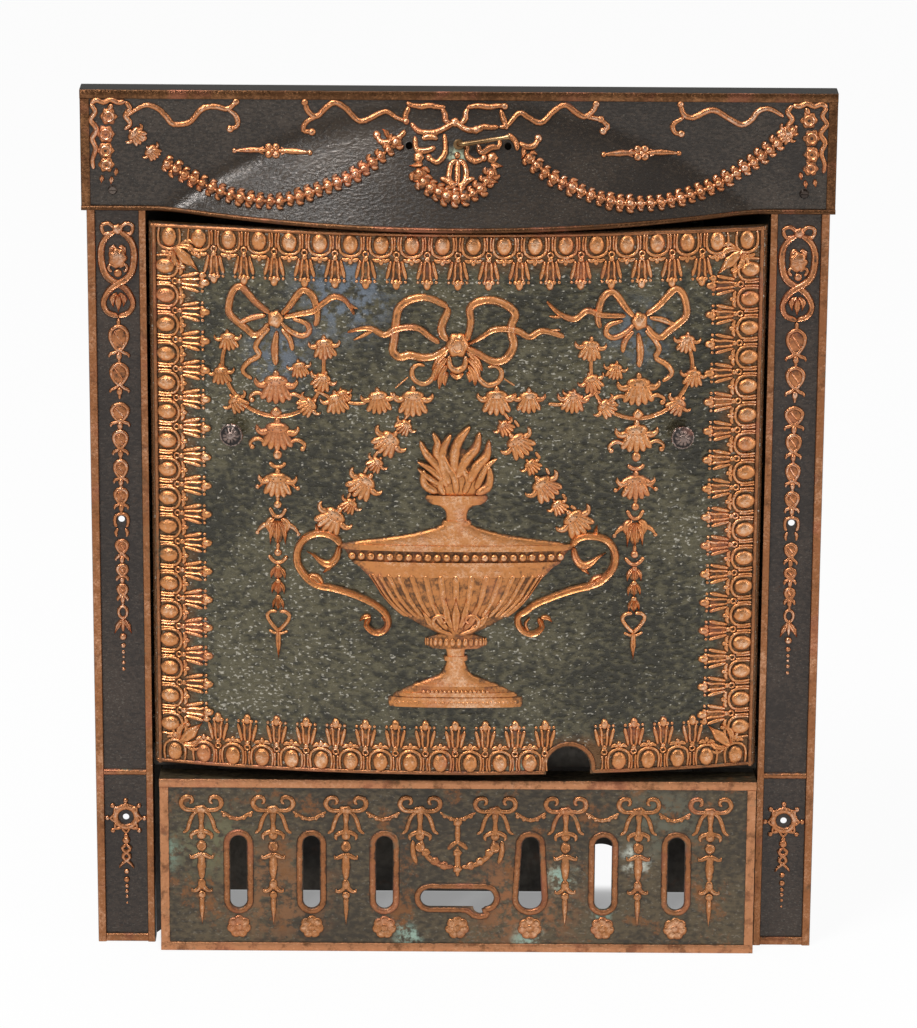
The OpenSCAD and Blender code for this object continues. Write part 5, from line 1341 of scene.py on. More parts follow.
# %% [markdown]
# The flames are tongues of different reach over two low domes, so no bare ground shows between their
# roots; the domes are darker, as painted shade there. The handles are one ribbon each, with leaves where
# they meet the bowl. The scrolls at the bowl's foot and the long leaf between them are laid over the
# flutes, each scroll over a dark dome that is its painted shadow.
# %% Flames, handles and leaves
# The domes under the flames are darker, the upper one most: painted shade between the flames' roots.
urn.dome(0, 20, 25, 3.0, tall=15, sides=24, shade=0.8)
urn.dome(-2, 34, 18, 2.4, tall=19, sides=20, shade=0.35)
FLAMES = (
    ([(-16, 13), (-26, 19), (-28, 27), (-27, 33)], 4.2, 2.2), ([(-14, 20), (-22, 25), (-27, 29), (-33, 34)], 3.0, 1.0),
    ([(-12, 24), (-19, 31), (-26, 36), (-33, 40)], 3.0, 1.0), ([(-8, 18), (-15, 34), (-26, 47), (-31, 58)], 4.6, 1.8),
    ([(-12, 40), (-17, 48), (-16, 56), (-20, 65)], 4.0, 1.9), ([(-6, 20), (-12, 38), (-11, 52), (-5, 64)], 4.8, 2.2),
    ([(-2, 30), (-2, 46), (1, 57), (11, 71)], 5.2, 1.9), ([(0, 26), (8, 42), (16, 52), (19, 66)], 5.0, 1.9),
    ([(10, 22), (17, 36), (25, 46), (27, 59)], 4.8, 1.8), ([(16, 16), (22, 30), (26, 37), (34, 43)], 4.0, 1.1),
    ([(16, 12), (26, 18), (28, 28), (27, 36)], 4.4, 2.2), ([(0, 12), (-2, 26), (-9, 38), (-13, 52)], 3.8, 1.6),
    ([(6, 12), (10, 24), (6, 34), (12, 44)], 3.8, 1.6), ([(-10, 11), (-14, 20), (-9, 28), (-13, 36)], 3.6, 1.5),
)
for k, (tips, wide, tip) in enumerate(FLAMES):
    urn.stroke(tips, [wide * 0.8, wide, wide * 0.85, tip], 2.8, step=2.2, lift=1.8 + 0.5 * (k % 3))
HANDLES = (
    [(-97, -35), (-103, -29), (-110, -26), (-118, -26), (-128, -31), (-134, -41), (-134, -54), (-126, -66),
     (-117, -72), (-105, -74), (-90, -78), (-75, -84), (-64, -91), (-58, -99), (-58, -107), (-63, -112),
     (-70, -112), (-76, -106), (-73, -99)],
    [(97, -35), (104, -28), (115, -27), (127, -31), (134, -42), (133, -55), (124, -66), (113, -71), (100, -74),
     (85, -79), (68, -86), (60, -92), (53, -97), (53, -105), (58, -111), (66, -113), (73, -107), (70, -99)],
)
for line in HANDLES:
    urn.stroke(line, [3.2, 3.4, 3.4, 3.0, 3.0, 2.6], 4.4, "ribbon", step=2.6)
urn.pair([(99, -36), (101, -46), (107, -53), (114, -51), (121, -45), (127, -42)], [2.4, 3.4, 4.0, 3.2, 1.0], 3.6,
         "leaf", "rp")
urn.pair([(104, -51), (109, -57), (113, -61)], [2.0, 2.8, 1.2], 3.0, "leaf", "rp")
urn.pair([(118, -26), (118, -21), (119, -17)], [2.2, 2.0, 0.8], 3.0, "leaf", "rp")
urn.pair([(112, -72), (119, -65), (126, -63)], [2.0, 4.2, 1.6], 3.6, "leaf")
urn.pair([(72, -98), (78, -99), (82, -103)], [2.0, 2.8, 1.0], 3.0, "leaf", "rp")
urn.pair([(62, -112), (59, -104), (63, -98)], [1.4, 1.6, 1.0], 2.6)
# A dark dome behind each scroll: its painted shadow.
urn.dome_pair(14, -101, 11.5, 4.9, tall=9.5, sides=20, shade=0.1)
urn.pair([(3, -112), (9, -110), (17, -106), (19, -99), (13, -95), (8, -99), (12, -103)], [1.8, 2.3, 2.3, 1.8, 1.3],
         2.4, step=1.8, lift=4.6)
for s in (-1, 1):
    for tip, root, wide in (((18, -84), (7, -108), 3.6), ((29, -90), (11, -109), 3.4), ((9, -79), (3, -107), 3.6)):
        mid = ((tip[0] + root[0]) / 2 + 1.5, (tip[1] + root[1]) / 2 - 2)
        urn.stroke([(s * root[0], root[1]), (s * mid[0], mid[1]), (s * tip[0], tip[1])],
                   [wide * 0.6, wide, wide * 0.5], 1.8, "leaf", "rp", lift=4.2)
urn.stroke([(0, -110), (0, -95), (0, -78)], [2.6, 4.2, 1.8], 2.6, "leaf", "rp", lift=4.6)
lay("cover_urn", urn, on_field, bowl_copper, COVER)
# %% [markdown]
# Beads on turned work stand highest in the middle, where the body is nearest, and sink towards both
# sides. The set-out tree takes these heights with the places.
# %% The urn's beads
belt = []
for z, size, height, half, reach, pitch in ((-44.3, 3.5, 3.0, 100, 88, 8.0), (-164, 1.7, 3.6, 60, 27, 3.6),
                                            (-173.8, 1.3, 3.9, 64, 51, 3.4)):
    belt += [(x, z, 0.0, size, height * math.sqrt(1 - (x / half) ** 2)) for x in np.arange(-reach, reach + 1, pitch)]
set_out("urn_beads", bead_unit, belt, on_field, bowl_copper, COVER, 0.03)
# %% [markdown]
# The knobs are stock pieces: a stem, a swelling and a domed rosette with petals and a beaded rim. A
# profile is spun round the knob's axis, which stands square to the bow, and its radius is waved where
# the petals are.
# %% The cover's knobs
KNOB_X, KNOB_Z = 188.0, 471.0


def knob(name, sign):
    profile = [(6.2, -0.3), (6.6, 0.3), (5.2, 1.2), (4.0, 2.6), (3.8, 5.0), (4.6, 6.6), (7.6, 8.0), (9.3, 9.0),
               (9.9, 10.2), (9.6, 11.4), (8.8, 12.0), (8.2, 11.7), (7.4, 12.4), (5.6, 13.6), (3.6, 14.0),
               (3.0, 14.6), (1.6, 14.95), (0.4, 15.0)]
    sides = 48
    a = np.linspace(0, 2 * math.pi, sides, endpoint=False)
    rings, rises = [], []
    for radius, out in profile:
        petal = 0.8 * (1 - np.abs(np.cos(5 * a))) ** 2 if 11.8 < out < 14.5 else 0 * a
        bead_wave = 0.25 * np.cos(16 * a) if 9.5 < out < 11.6 else 0 * a
        rings.append(np.stack([(radius + bead_wave) * np.cos(a), (radius + bead_wave) * np.sin(a),
                               out - petal], 1))
        # The groove inside the rim and the dips between the petals get a low rise, so they are painted dark: painted
        # shade.
        rises.append(np.clip({8.2: 0.0, 7.4: 0.2, 5.6: 0.6}.get(radius, 0.85) - petal * 1.2 + bead_wave, 0, 1))
    flat = np.vstack(rings)
    turn = bow_angle(KNOB_X) * sign
    x0, y0 = BOW_R * math.sin(turn), BOW_Y - BOW_R * math.cos(turn)
    x = x0 + flat[:, 0] * math.cos(turn) + flat[:, 2] * math.sin(turn)
    y = y0 + flat[:, 0] * math.sin(turn) - flat[:, 2] * math.cos(turn)
    points = row(x, y, KNOB_Z + flat[:, 1])
    faces = ring_faces(len(profile), sides)
    mesh = plain_mesh(name + "_rosette", points, faces, knob_bronze, np.concatenate(rises), 35)
    show(name + "_rosette", mesh, "cover", "dark_copper", [name])


knob("right_knob", 1)
knob("left_knob", -1)
# %% [markdown]
# On the hood the same ribbons and garlands hang again, smaller: a square-looped ribbon in the middle
# with a wreath below it, long ribbons that wander out to both sides, swags of husks and a drop of
# rosettes at each end. The left and right halves were pressed from different punches, so their
# ribbons are drawn apart.
# %% Ribbons of the hood
hood_work = Relief(1.25)
LEFT_RIBBONS = (
    [(-277, 737), (-265, 745), (-258, 747), (-250, 744), (-243, 737), (-238, 731), (-228, 731), (-222, 734),
     (-213, 744), (-202, 746), (-192, 744), (-185, 750)],
    [(-44, 735), (-52, 738), (-59, 742.5), (-64, 742), (-78, 735), (-85, 736), (-95, 746), (-103, 750),
     (-110, 746), (-118, 738), (-125, 742), (-128, 750)],
)
RIGHT_RIBBONS = (
    [(33, 731), (40, 732), (45.5, 738), (51, 742.5), (57, 739), (64, 735), (70, 735), (78, 743), (88, 749),
     (98, 742), (105, 739), (112, 745), (114, 750)],
    [(270, 740), (262, 745), (255, 747), (248, 744), (243, 737), (235, 733), (225, 738), (213, 745), (205, 744),
     (195, 739), (187, 741), (184, 750)],
)
for line in LEFT_RIBBONS + RIGHT_RIBBONS:
    hood_work.stroke(line, [1.5, 2.2, 2.2, 2.4, 2.0], 2.3, step=2.6)
    hood_work.dome(*line[-1], 2.6, 2.6, sides=10)
for line in ([(-192, 744), (-185, 738), (-184, 730), (-190, 727)],
             [(-118, 738), (-127, 733), (-129, 726), (-122, 725)],
             [(118, 737), (124, 731), (120, 727)], [(105, 739), (112, 738), (118, 737)],
             [(187, 739), (178, 733), (180, 726), (185, 725)]):
    hood_work.stroke(line, [1.4, 2.1, 1.8], 2.2)
    hood_work.dome(*line[-1], 2.7, 2.5, sides=10)
print("ribbons on the hood:", len(LEFT_RIBBONS + RIGHT_RIBBONS))
# %% [markdown]
# At each end of the hood hangs a short drop of rosettes between two folded ribbon ends, and a small bar
# with a four-petalled flower floats over each swag.
# %% End drops and bars of the hood
corner_drop = Relief()
corner_drop.stroke([(-306, 748), (-301, 751), (-295, 749), (-289, 751.5), (-283, 749), (-277, 750)], 2.8, 2.6)
for line in ([(-306, 748), (-302, 741), (-306, 734), (-301, 726), (-305, 718), (-302, 710), (-305, 700), (-304, 692)],
             [(-277, 750), (-273, 744), (-277, 738), (-273, 731), (-278, 726)],
             [(-288, 748), (-291, 742)]):
    corner_drop.stroke(line, [2.4, 2.8, 2.0], 2.6, step=2.2)
for x, z, wide in ((-291, 737, 5.2), (-293.5, 722, 5.4), (-294, 708, 5.2), (-293.5, 696, 4.6)):
    # Each rosette's body is a little darker and its centre dark: painted shade in its hollow.
    corner_drop.dome(x, z, wide + 2.0, 2.0, lobes=6, sides=24, shade=0.7)
    corner_drop.stroke(ring_points(x, z, wide - 1.2, 10), 1.7, 2.8, closed=True, step=2)
    corner_drop.dome(x, z, 1.9, 2.6, sides=6, shade=0.0)
for x, z in ((-297, 684), (-289, 683), (-285, 690)):
    corner_drop.stroke([(x, z + 3), (x - 1, z - 4)], [1.6, 2.4, 1.0], 2.2, "leaf", "rp")
hood_work.both(corner_drop)
for mid in (-155.0, 152.0):
    hood_work.pair([(4, 709), (17, 709.3), (31, 708.6)], [1.4, 2.4, 1.0], 2.2, about=mid)
    hood_work.dome_pair(31.5, 708.6, 1.9, 2.4, sides=8, about=mid)
    hood_work.pair([(7, 706), (12, 709), (7, 712)], 0.8, 1.6, about=mid)
    for k in range(4):
        a = math.pi / 4 + k * math.pi / 2
        hood_work.dome(mid + 4.2 * math.cos(a), 709 + 4.2 * math.sin(a), 2.8, 2.2, sides=10)
    hood_work.dome(mid, 709, 1.9, 2.8, sides=8)
print("an end drop holds", len(corner_drop.faces), "faces")
# %% [markdown]
# The middle of the hood holds a ribbon tied in square loops, with a heart, a wreath and short leaves
# below it. It is small and sharp on the object, so its strokes are thin and its points close.
# %% The hood's middle knot
for line in (
    [(-43.6, 751), (-40, 748.5), (-31, 747), (-24, 748), (-16, 746.5), (-11, 747)],
    [(-41, 747), (-44, 741), (-44.5, 735)], [(-14.5, 746), (-11.5, 741), (-11, 736), (-6, 733)],
    [(6, 746.5), (16, 748), (25.5, 747), (33, 748), (38, 747.5)],
    [(8, 746), (5.5, 742), (5.5, 737.5), (1, 733)], [(34.5, 745), (37, 738), (40, 729)],
    [(-40, 734), (-34, 728), (-27, 726.5), (-19, 727), (-11, 730.6), (-3, 734.7)],
    [(-3, 734.7), (2, 731.5), (8, 729), (14.5, 729), (21, 731.5), (25.5, 731), (33, 731)],
    [(-36, 724), (-36, 718), (-34, 713), (-26, 713), (-19, 715.6)], [(-31, 722), (-24, 723.5), (-17, 722)],
    [(-12, 726), (-11, 718), (-11.4, 711), (-15.5, 705.6), (-19, 704), (-24.5, 707.5)],
    [(8, 717.5), (6.5, 712), (8, 708), (14.5, 705), (21, 707.5)],
    [(16.4, 718), (17.5, 712.5), (21, 712), (26.4, 715.6), (33, 716), (34, 722)],
    [(-0.5, 705.6), (-5, 704), (-7, 701), (-8, 692), (-5, 688), (-1, 686.5)],
    [(-0.5, 705.6), (4, 704), (5.5, 701), (6.4, 694), (4, 688), (-1, 686.5)],
    [(-0.5, 706), (-1, 697), (-1, 687)],
    [(-15.5, 692), (-9, 690), (-4.5, 685), (-3.6, 680)], [(13.5, 692), (7, 690), (2.5, 685), (1.6, 680)],
    [(-44, 728), (-50, 722), (-56, 719), (-64.5, 719), (-68, 724)],
    [(41, 726), (47, 720), (49, 713)], [(50, 719), (57, 715.6), (63, 717), (66, 722)],
):
    hood_work.stroke(line, [1.8, 2.4, 1.9], 2.5, step=2.2)
for x, z, r in ((-3, 734.7, 3.2), (14.5, 729, 2.8), (28, 707.5, 3.8), (-33, 707.5, 3.8), (-68, 724, 2.8),
                (66, 722, 2.8),
                (-262, 719, 2.4), (-24.5, 707.5, 2.4), (21, 707.5, 2.4), (-1, 709.5, 2.2), (-43.6, 735, 2.4),
                (38, 747.5, 2.6)):
    hood_work.dome(x, z, r, 2.6, lobes=5 if r > 3 else 0, sides=12)
WREATH = [(-34, 698), (-29, 689), (-23, 684.5), (-15.5, 681), (-8, 678), (-1, 677), (6, 678), (13, 681), (19, 685),
          (25.5, 693), (29, 699)]
for tip in ((-41, 701), (37, 701), (-38, 689), (33, 689), (-23, 677), (17, 677.5)):
    hood_work.stroke([(tip[0] * 0.72, tip[1] + 1.5), tip], [2.2, 2.0, 0.8], 2.2, "leaf", "rp")
for line in ([(-48, 718), (-54, 716), (-57, 711)], [(53, 716), (54, 711), (52, 706)],
             [(-58, 721), (-60, 726), (-64, 729)]):
    hood_work.stroke(line, [1.2, 2.2, 0.8], 2.2, "leaf", "rp")
for x, z, size, lean in ((-268, 721, 17, 0.9), (-255, 707, 15, 0.8), (272, 725, 16, -0.9)):
    flower(hood_work, x, z, size, lean)
lay("hood_ornament", hood_work, on_hood, hood_copper, HOOD)
# %% [markdown]
# The swags and the wreath are husks threaded on a line. The tree sets them out at an even pitch, a
# little different in size, each square to the line.
# %% Swags of husks
LEFT_SWAG = [(-246, 699), (-240, 696), (-230, 689), (-218, 683), (-205, 677),
             (-192, 673), (-178, 671), (-165, 670), (-150, 670), (-138, 673), (-126, 677), (-113, 682), (-100, 687),
             (-88, 692), (-76, 700), (-66, 707), (-56, 715), (-49, 722)]
RIGHT_SWAG = [(56, 710), (64, 702), (76, 693), (88, 687), (102, 681), (118, 675), (135, 671), (152, 670), (166, 670),
              (180, 672), (198, 676), (214, 682), (228, 690), (240, 698), (250, 705), (258, 712), (270, 723),
              (281, 732)]
spots = along_line(LEFT_SWAG, 8.4, 1.4) + along_line(RIGHT_SWAG, 8.4, 1.4) + along_line(WREATH, 7.6, 1.55)
set_out("hood_swags", husk_unit, spots, on_hood, hood_copper, HOOD, 0.14, 5)
# %% [markdown]
# The rod through the hood is brass-coloured: a short handle bent square to it, with a ring where it
# leaves the sheet. The rod's whole length is modelled, because it turns the flue plate behind.
# %% The damper's rod
def tube_along(points, radii, sides=16):
    """A closed round bar along points in the frame's millimetres, with a radius at each point."""
    p = np.asarray(points, float)
    d = np.gradient(p, axis=0)
    d /= np.linalg.norm(d, axis=1)[:, None]
    ref = np.array([0.0, 0.2, 1.0])
    a = np.linspace(0, 2 * math.pi, sides, endpoint=False)
    rings = []
    for q, t, r in zip(p, d, radii):
        s = np.cross(t, ref)
        s /= np.linalg.norm(s)
        w = np.cross(s, t)
        rings.append(q + r * (np.cos(a)[:, None] * s + np.sin(a)[:, None] * w))
    return np.vstack(rings), np.full(len(p) * sides, 0.7), ring_faces(len(p), sides)


lean, bend_r, rod_r = math.radians(10), 6.0, 2.35
corner = np.array([0.0, -22.6, ROD_Z])
reach = np.array([math.cos(lean), 0.0, math.sin(lean)])
back = np.array([0.0, bend_r, 0.0])
bend = [corner + back * (1 - t) ** 2 + reach * bend_r * t ** 2 for t in np.linspace(0, 1, 8)]
path = [(0, 124.9, ROD_Z), (0, 60, ROD_Z), (0, -10, ROD_Z), *bend]
path += [corner + reach * s for s in (10, 20, 30, 38, 41, 42.4, 43.2)]
thick = [rod_r] * (3 + len(bend)) + [2.2, 2.0, 1.8, 1.7, 2.4, 2.3, 1.2]
rod = Relief()
rod.add(*tube_along(path, thick))
rod.add(*tube_along([(0, y, ROD_Z) for y in (-17.9, -18.3, -19.5, -20.1)], [3.4, 4.5, 4.4, 3.2], 20))
mesh = plain_mesh("damper_handle", row(*rod.flat().T), rod.faces, rod_brass, rod.rise(), 40)
show("damper_handle", mesh, "damper", "steel", ["damper_rod"])
# %% [markdown]
# Each pilaster carries a long drop: a bow, an oval cartouche with a palmette, then ten knots that
# shrink on the way down, a husk and a tail of beads. Below the cross rib stand the star boss and a
# shorter drop.
# %% The pilasters' drops
def side_drop():
    r = Relief(1.35)
    r.pair([(1.5, 640), (7, 645), (13, 643), (11, 636), (4, 637)], 1.5, 2.1)
    r.pair([(1.5, 607), (6, 610), (8, 606), (5, 603)], 1.2, 2.1)
    r.pair([(1, 585), (5, 580), (4, 572)], [1.2, 2.2, 0.8], 2.2, "leaf", "rp")
    r.pair([(1, 625), (5, 624), (7, 618)], [1.0, 1.8, 0.8], 2.0, "leaf", "rp")
    for k in (-1, 1):
        r.stroke([(k * 2, 638), (k * 9, 633), (k * 13, 626), (k * 14, 616), (k * 12, 604), (k * 7, 597), (-k * 3, 591),
                  (-k * 9, 585), (-k * 12.5, 576), (-k * 9, 568), (0, 564.5)], [1.8, 2.4, 2.4, 2.0, 1.8], 2.3,
                 "ribbon", step=2.4, lift=0.25 * k + 0.25)
    r.dome(0, 640, 3.6, 3.0, lobes=5, sides=14)
    r.dome(0, 615, 6.0, 3.2, tall=6.8, lobes=7, depth=0.1, sides=28)
    r.dome(0, 602, 2.8, 2.4, sides=10)
    r.stroke([(0, 584), (0, 577), (0, 568)], [1.2, 2.6, 1.0], 2.5, "leaf", "rp")
    r.stroke([(0, 563), (0, 556)], 1.5, 2.1)
    for z1, z0, zc, wide in ((556, 535, 531, 16), (523, 505, 500, 15), (488, 473, 470, 15), (464, 449, 445, 12),
                             (438, 423, 420, 11), (413, 400, 397, 11), (367, 356, 351, 10), (345, 336, 333, 9),
                             (327, 318, 315, 8)):
        w, tall = wide * 0.42, z1 - z0
        high, deep = z1 - 0.22 * tall, z1 - 0.62 * tall
        r.stroke([(0, z1), (w, high), (w * 0.95, deep), (0, z0), (-w * 0.95, deep), (-w, high)], 1.5, 2.2,
                 closed=True, step=2)
        # A low, darker dome fills each knot: painted shade inside the loop.
        r.dome(0, z1 - 0.5 * tall, w * 0.78, 1.9, tall=tall * 0.34, sides=16, shade=0.62)
        r.stroke([(-w * 0.6, z1 - 0.2 * tall), (0, z1 - 0.5 * tall), (w * 0.5, z0 + 0.25 * tall)],
                 [0.9, 1.3, 0.9], 2.6, step=2)
        r.pair([(0, z0 + 0.5), (wide * 0.28, zc + 1.6), (wide * 0.5, zc + 0.5), (wide * 0.52, zc - 2.5)],
               [1.2, 1.4, 0.9], 2.1, step=2)
        r.dome(0, zc - 1, 2.1 * (0.6 + wide / 40), 2.5, tall=3.0, sides=10)
        r.stroke([(0, zc - 3), (0, zc - 8)], [1.4, 0.9], 1.9, step=3)
    r.pair([(0, 391), (5, 389), (5.6, 382), (3.8, 379)], 1.3, 2.1)
    r.pair([(3, 378), (5, 374), (4, 370)], [1.2, 1.4, 0.8], 2.0)
    r.pair([(0.5, 296), (4, 291), (7.5, 283)], [1.4, 2.0, 0.8], 2.2, "leaf", "rp")
    r.pair([(0, 90), (3.6, 86), (-3.2, 79), (4, 72), (6.5, 68)], [1.4, 1.5, 1.4, 0.8], 2.2)
    r.stroke([(0, 308), (3.4, 305), (3.2, 300), (0, 297), (-3.2, 300), (-3.4, 305)], 1.2, 2.1, closed=True, step=2)
    r.stroke([(0, 297), (0, 290), (0, 285)], [1.3, 1.6, 1.0], 2.2)
    for k in range(8):
        a = math.pi / 2 + k * math.pi / 4
        foot, tip, top, ball = [(far * math.cos(a + off), 114.5 + far * math.sin(a + off))
                                for far, off in ((9.4, math.pi / 8), (13.8, 0), (9.4, -math.pi / 8), (16.2, 0))]
        r.stroke([foot, tip, top], 1.2, 2.0, step=3)
        r.dome(*ball, 1.8, 2.3, sides=8)
    r.stroke(ring_points(0, 115.5, 9.4, 16), 2.4, 2.0, closed=True, step=3)
    r.dome(0, 94, 2.8, 2.6, sides=10)
    r.stroke([(0, 92), (0, 89)], 1.3, 2.0)
    return r


BEAD_TAIL = [(280.5, 3.3), (272.5, 2.4), (266.5, 1.8), (262, 1.4), (257, 1.8), (251, 1.7), (65, 2.6), (57.5, 2.8),
             (51.5, 2.1), (46.5, 1.8), (41.5, 1.6), (35.5, 1.1)]
for side, mid in (("left", -PILASTER_MID), ("right", PILASTER_MID)):
    whole = Relief()
    whole.take(side_drop(), shift=mid)
    lay(side + "_pilaster_drop", whole, on_pilaster, side_copper, pilaster_home(side))
    spots = [(mid, z, 0.0, size, 0.0) for z, size in BEAD_TAIL]
    set_out(side + "_pilaster_beads", bead_unit, spots, on_pilaster, side_copper, pilaster_home(side), 0.04, 7)
# %% [markdown]
# The ash front's pattern is shallower and more worn: eight small bows stand side by side with a body
# and a drop below each, light garlands sag between them, and a rosette sits under every vent. It is
# drawn once and set out at the bows' places.
# %% The ash front's pattern
def ash_bow(short):
    r = Relief(1.35)
    r.pair([(2, 131), (8, 130), (14, 131), (17.5, 136), (15, 141.5), (9, 142), (7.5, 138), (10, 136)],
           [1.4, 1.7, 1.9, 1.7, 1.1], 1.9)
    r.pair([(2, 130), (7, 126), (10, 119), (12, 112), (16, 109)], [1.3, 1.6, 1.6, 1.0], 1.7)
    r.pair([(0, 111), (4, 110), (9, 107), (8, 103)], [1.6, 1.8, 1.0], 1.7)
    r.dome(0, 131, 4.6, 2.4, tall=3.0, lobes=5, sides=20)
    r.stroke([(0, 130), (0, 120), (0, 106)], [3.0, 1.6, 3.0], 2.0)
    r.dome(0, 107, 3.2, 2.1, sides=10)
    # A darker dome inside the ring: painted shade in its hollow.
    r.dome(0, 97, 3.6, 1.6, tall=4.2, sides=16, shade=0.6)
    r.stroke(ring_points(0, 97, 3.2, 8), 1.1, 2.0, closed=True, step=2)
    if short:
        return r
    r.pair([(0, 90), (5, 87.5), (9, 86), (10, 89)], [2.0, 1.7, 0.9], 1.8)
    r.pair([(0, 64), (3, 57), (8, 55), (8.5, 58)], [1.6, 1.8, 0.8], 1.7)
    r.stroke([(0, 91), (0, 80), (0, 66)], [2.4, 3.2, 1.8], 1.9)
    r.dome(0, 62, 2.8, 2.0, tall=4.0, sides=12)
    r.dome(0, 52, 2.8, 2.1, sides=10)
    r.stroke([(0, 50), (0, 38), (0, 24)], [2.2, 1.8, 0.8], 1.8, "rod", "rp")
    return r


ash_work = Relief(1.6)
BOWS = (-219, -157, -94, -30, 35, 96, 159, 221)
for x in BOWS:
    ash_work.take(ash_bow(x in (-30, 35)), shift=x)
for a, b in zip(BOWS, BOWS[1:]):
    ash_work.stroke([(a + 17, 129), ((a + b) / 2, 122), (b - 17, 129)], [0.9, 1.3, 0.9], 1.3, step=4)
    mid = (a + b) / 2
    for k in range(-2, 3):
        ash_work.dome(mid + 5.6 * k, 122.4 + 0.8 * k * k, 1.4, 1.8, sides=8)
for line in ([(ASH_MID, 120), (ASH_MID, 112), (ASH_MID, 100)], [(ASH_MID, 102), (-2, 99), (-6, 95)],
             [(ASH_MID, 102), (7, 99), (11, 95)], [(ASH_MID, 98), (ASH_MID, 84), (ASH_MID, 70)],
             [(-29, 104), (-28, 96), (-24, 89), (-17, 83), (-8, 79), (-1, 79)],
             [(34, 104), (33, 96), (29, 89), (22, 83), (13, 79), (6, 79)],
             [(-36, 103), (-36, 92), (-33, 82)], [(41, 103), (41, 92), (38, 82)]):
    ash_work.stroke(line, [1.3, 1.8, 1.3], 1.6)
for x, z in ((ASH_MID, 120), (ASH_MID, 92), (ASH_MID, 77), (-17, 84), (22, 84), (-25, 92), (30, 92), (-9, 80),
             (14, 80)):
    ash_work.dome(x, z, 2.6, 2.1, lobes=5, sides=12)
ROSETTE_Z, PETALS = 22.5, 7
for x in [x for k, x in VENTS] + [ASH_MID]:
    for petal in ring_points(x, ROSETTE_Z, 6, PETALS, turn=math.pi / 2):
        ash_work.dome(*petal, 3.1, 1.9, sides=10)
    ash_work.dome(x, ROSETTE_Z, 2.6, 2.2, sides=10)
lay("ash_pattern", ash_work, on_ash, ash_copper, ASH)
# %% [markdown]
# The bead, husk, egg and bell that the trees copied stood in the scene only as patterns. Their copies are
# meshes of their own by now, so the patterns can go.
# %% Put the units away
for unit in (bead_unit, husk_unit, egg_unit, bell_unit):
    bpy.data.objects.remove(unit)
# %% [markdown]
# The stage is a plain white floor in an even, soft studio. The camera sees the floor and the world as
# white through the Light Path node, and metal mirrors that white, while the lamps stay at a level that
# shows colours as they are written. The floor keeps part of its own shading, so the object's shadow
# still lies on it. Inside the insert the floor glows less, so it looks shaded through the vents.
# %% The floor
def ray_kinds(tree):
    """1 for rays straight from the camera, and 1 for rays that come by a mirror or through glass."""
    rays = tree.nodes.new("ShaderNodeLightPath").outputs
    mirrored = Wire(tree, rays["Is Glossy Ray"]).most(Wire(tree, rays["Is Transmission Ray"]))
    return Wire(tree, rays["Is Camera Ray"]), mirrored


def stage_floor(size):
    make = Finish("studio_floor")
    make.paint(Base_Color=(0.86, 0.86, 0.86, 1.0), Roughness=0.9)
    tree = make.tree
    straight, mirrored = ray_kinds(tree)
    across = make.node("ShaderNodeSeparateXYZ", {}, 0, i0=make.place)
    deep = make.node("ShaderNodeSeparateXYZ", {}, 1, i0=make.place) - 0.02
    under = make.ramp(across * across, 0.26 ** 2, 0.25 ** 2) * make.ramp(deep * deep, 0.085 ** 2, 0.06 ** 2) * 0.7
    seen = (straight * 0.94 * (1 - under)).most(mirrored * 0.5)
    glow = tree.nodes.new("ShaderNodeEmission")
    glow.inputs["Color"].default_value = (1, 1, 1, 1)
    blend = tree.nodes.new("ShaderNodeMixShader")
    tree.links.new(seen.socket, blend.inputs[0])
    tree.links.new(make.shader.outputs[0], blend.inputs[1])
    tree.links.new(glow.outputs[0], blend.inputs[2])
    tree.links.new(blend.outputs[0], tree.nodes["Material Output"].inputs["Surface"])
    corners = [(-size, -size, 0), (size, -size, 0), (size, size, 0), (-size, size, 0)]
    mesh = bpy.data.meshes.new("floor")
    mesh.from_pydata(corners, [], [(0, 1, 2, 3)])
    mesh.materials.append(make.material)
    in_scene("floor", mesh)


FLOOR = 14.0
stage_floor(FLOOR)
print("the floor runs", FLOOR, "m to each side")


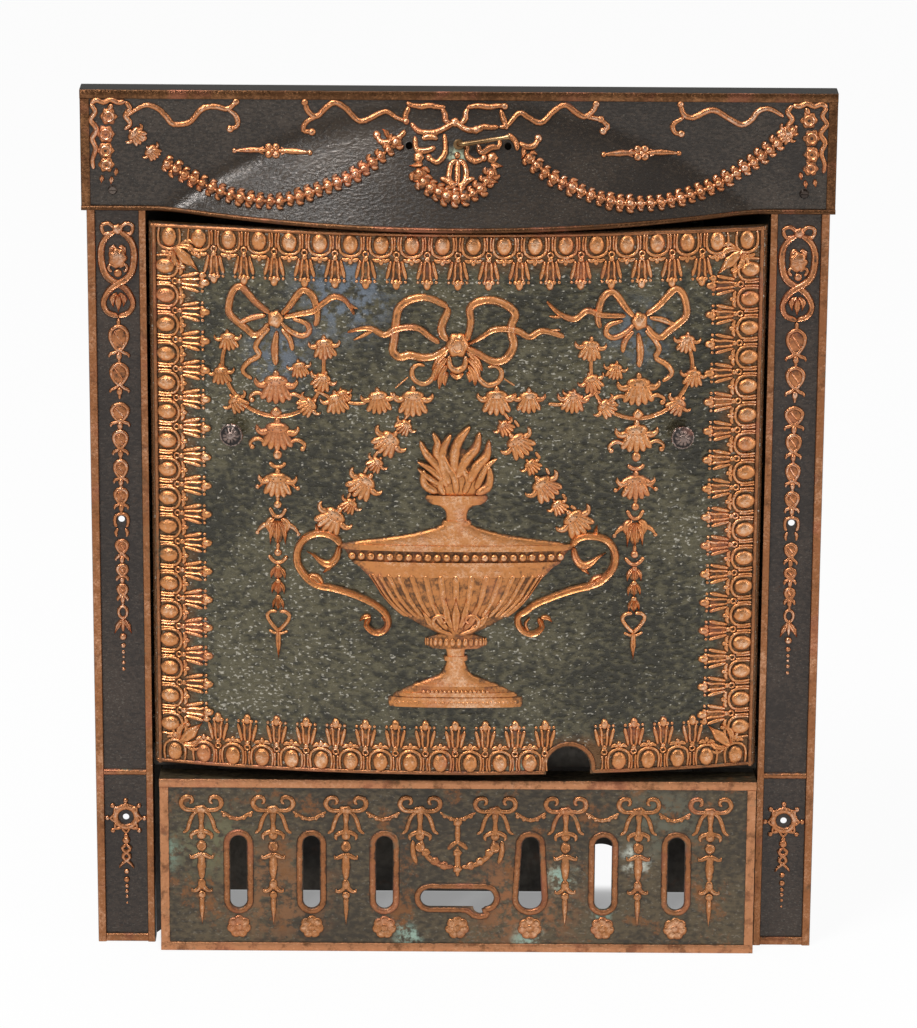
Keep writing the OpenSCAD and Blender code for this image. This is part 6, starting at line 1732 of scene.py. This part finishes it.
# %% [markdown]
# The world is a soft studio: brighter overhead than at the sides, white where the camera looks straight
# at it, and white in what the metal mirrors from behind the object.
# %% The world
def studio_world():
    world = bpy.data.worlds.new("studio")
    bpy.context.scene.world = world
    world.use_nodes = True
    tree = world.node_tree
    back = tree.nodes["Background"]
    look = tree.nodes.new("ShaderNodeTexCoord")
    parts = tree.nodes.new("ShaderNodeSeparateXYZ")
    tree.links.new(look.outputs["Generated"], parts.inputs[0])
    along = Wire(tree, parts.outputs["Y"])
    up = Wire(tree, parts.outputs["Z"])
    front = along.most(-1.0) * -0.5 + 0.5
    open_sky = ((up - 0.6) * 3.0).most(0.0).least(1.0)
    level = 0.3 + up.most(0.0) * 0.25 + open_sky * open_sky * 1.3 - front * 0.08
    straight, mirrored = ray_kinds(tree)
    behind = (along * 4 + 0.5).most(0.0).least(1.0)
    glossy = level * (1 - behind) + behind
    diffuse = 0.48 * (1 - mirrored) + glossy * mirrored
    strength = diffuse * (1 - straight) + straight
    back.inputs["Color"].default_value = (1, 1, 1, 1)
    tree.links.new(strength.socket, back.inputs["Strength"])


studio_world()
print("the world has", len(bpy.context.scene.world.node_tree.nodes), "nodes")


# %% [markdown]
# A large lamp over the left is the main light; a tall one at the right and a small one low at the left
# give the copper its edges. The camera stands where the photo's straight edges put it: 17 degrees
# down, a little turned about its axis, and far enough away for the small spread of the uprights.
# %% Lamps and camera
def lamp(name, place, aim, size, power, tall=None):
    data = bpy.data.lights.new(name, "AREA")
    data.shape = "RECTANGLE"
    data.size = size
    data.size_y = tall or size
    data.energy = power
    lit = in_scene(name, data)
    lit.location = place
    lit.rotation_euler = (Vector(aim) - Vector(place)).to_track_quat("-Z", "Y").to_euler()


lamp("key_over_left", (-1.2, -1.7, 3.5), (0, 0, 0.4), 1.2, 84)
lamp("side_right", (2.2, -1.0, 1.2), (0.1, 0, 0.4), 0.7, 14, 1.6)
lamp("low_left", (-1.5, -2.45, 1.76), (-0.2, 0, 0.68), 0.3, 14, 0.5)
CAMERA_AT = (1.68, -4061.2, 1621.95)
pitch, roll = math.radians(17), 0.005878
right = Vector((math.cos(roll), math.sin(roll) * math.sin(pitch), math.sin(roll) * math.cos(pitch)))
above = Vector((-math.sin(roll), math.cos(roll) * math.sin(pitch), math.cos(roll) * math.cos(pitch)))
away = Vector((0, math.cos(pitch), -math.sin(pitch)))
lens = bpy.data.cameras.new("camera")
lens.lens = 172.88
lens.sensor_width = lens.sensor_height = 36
lens.sensor_fit = "AUTO"
lens.clip_end = 100
camera = in_scene("camera", lens)
turn = Matrix((right, above, -away)).transposed().to_4x4()
turn.translation = Vector(CAMERA_AT) * MM
camera.matrix_world = turn
bpy.context.scene.camera = camera
bpy.context.scene.view_settings.view_transform = "Standard"
print("the camera stands", round(camera.location.length, 2), "m away")
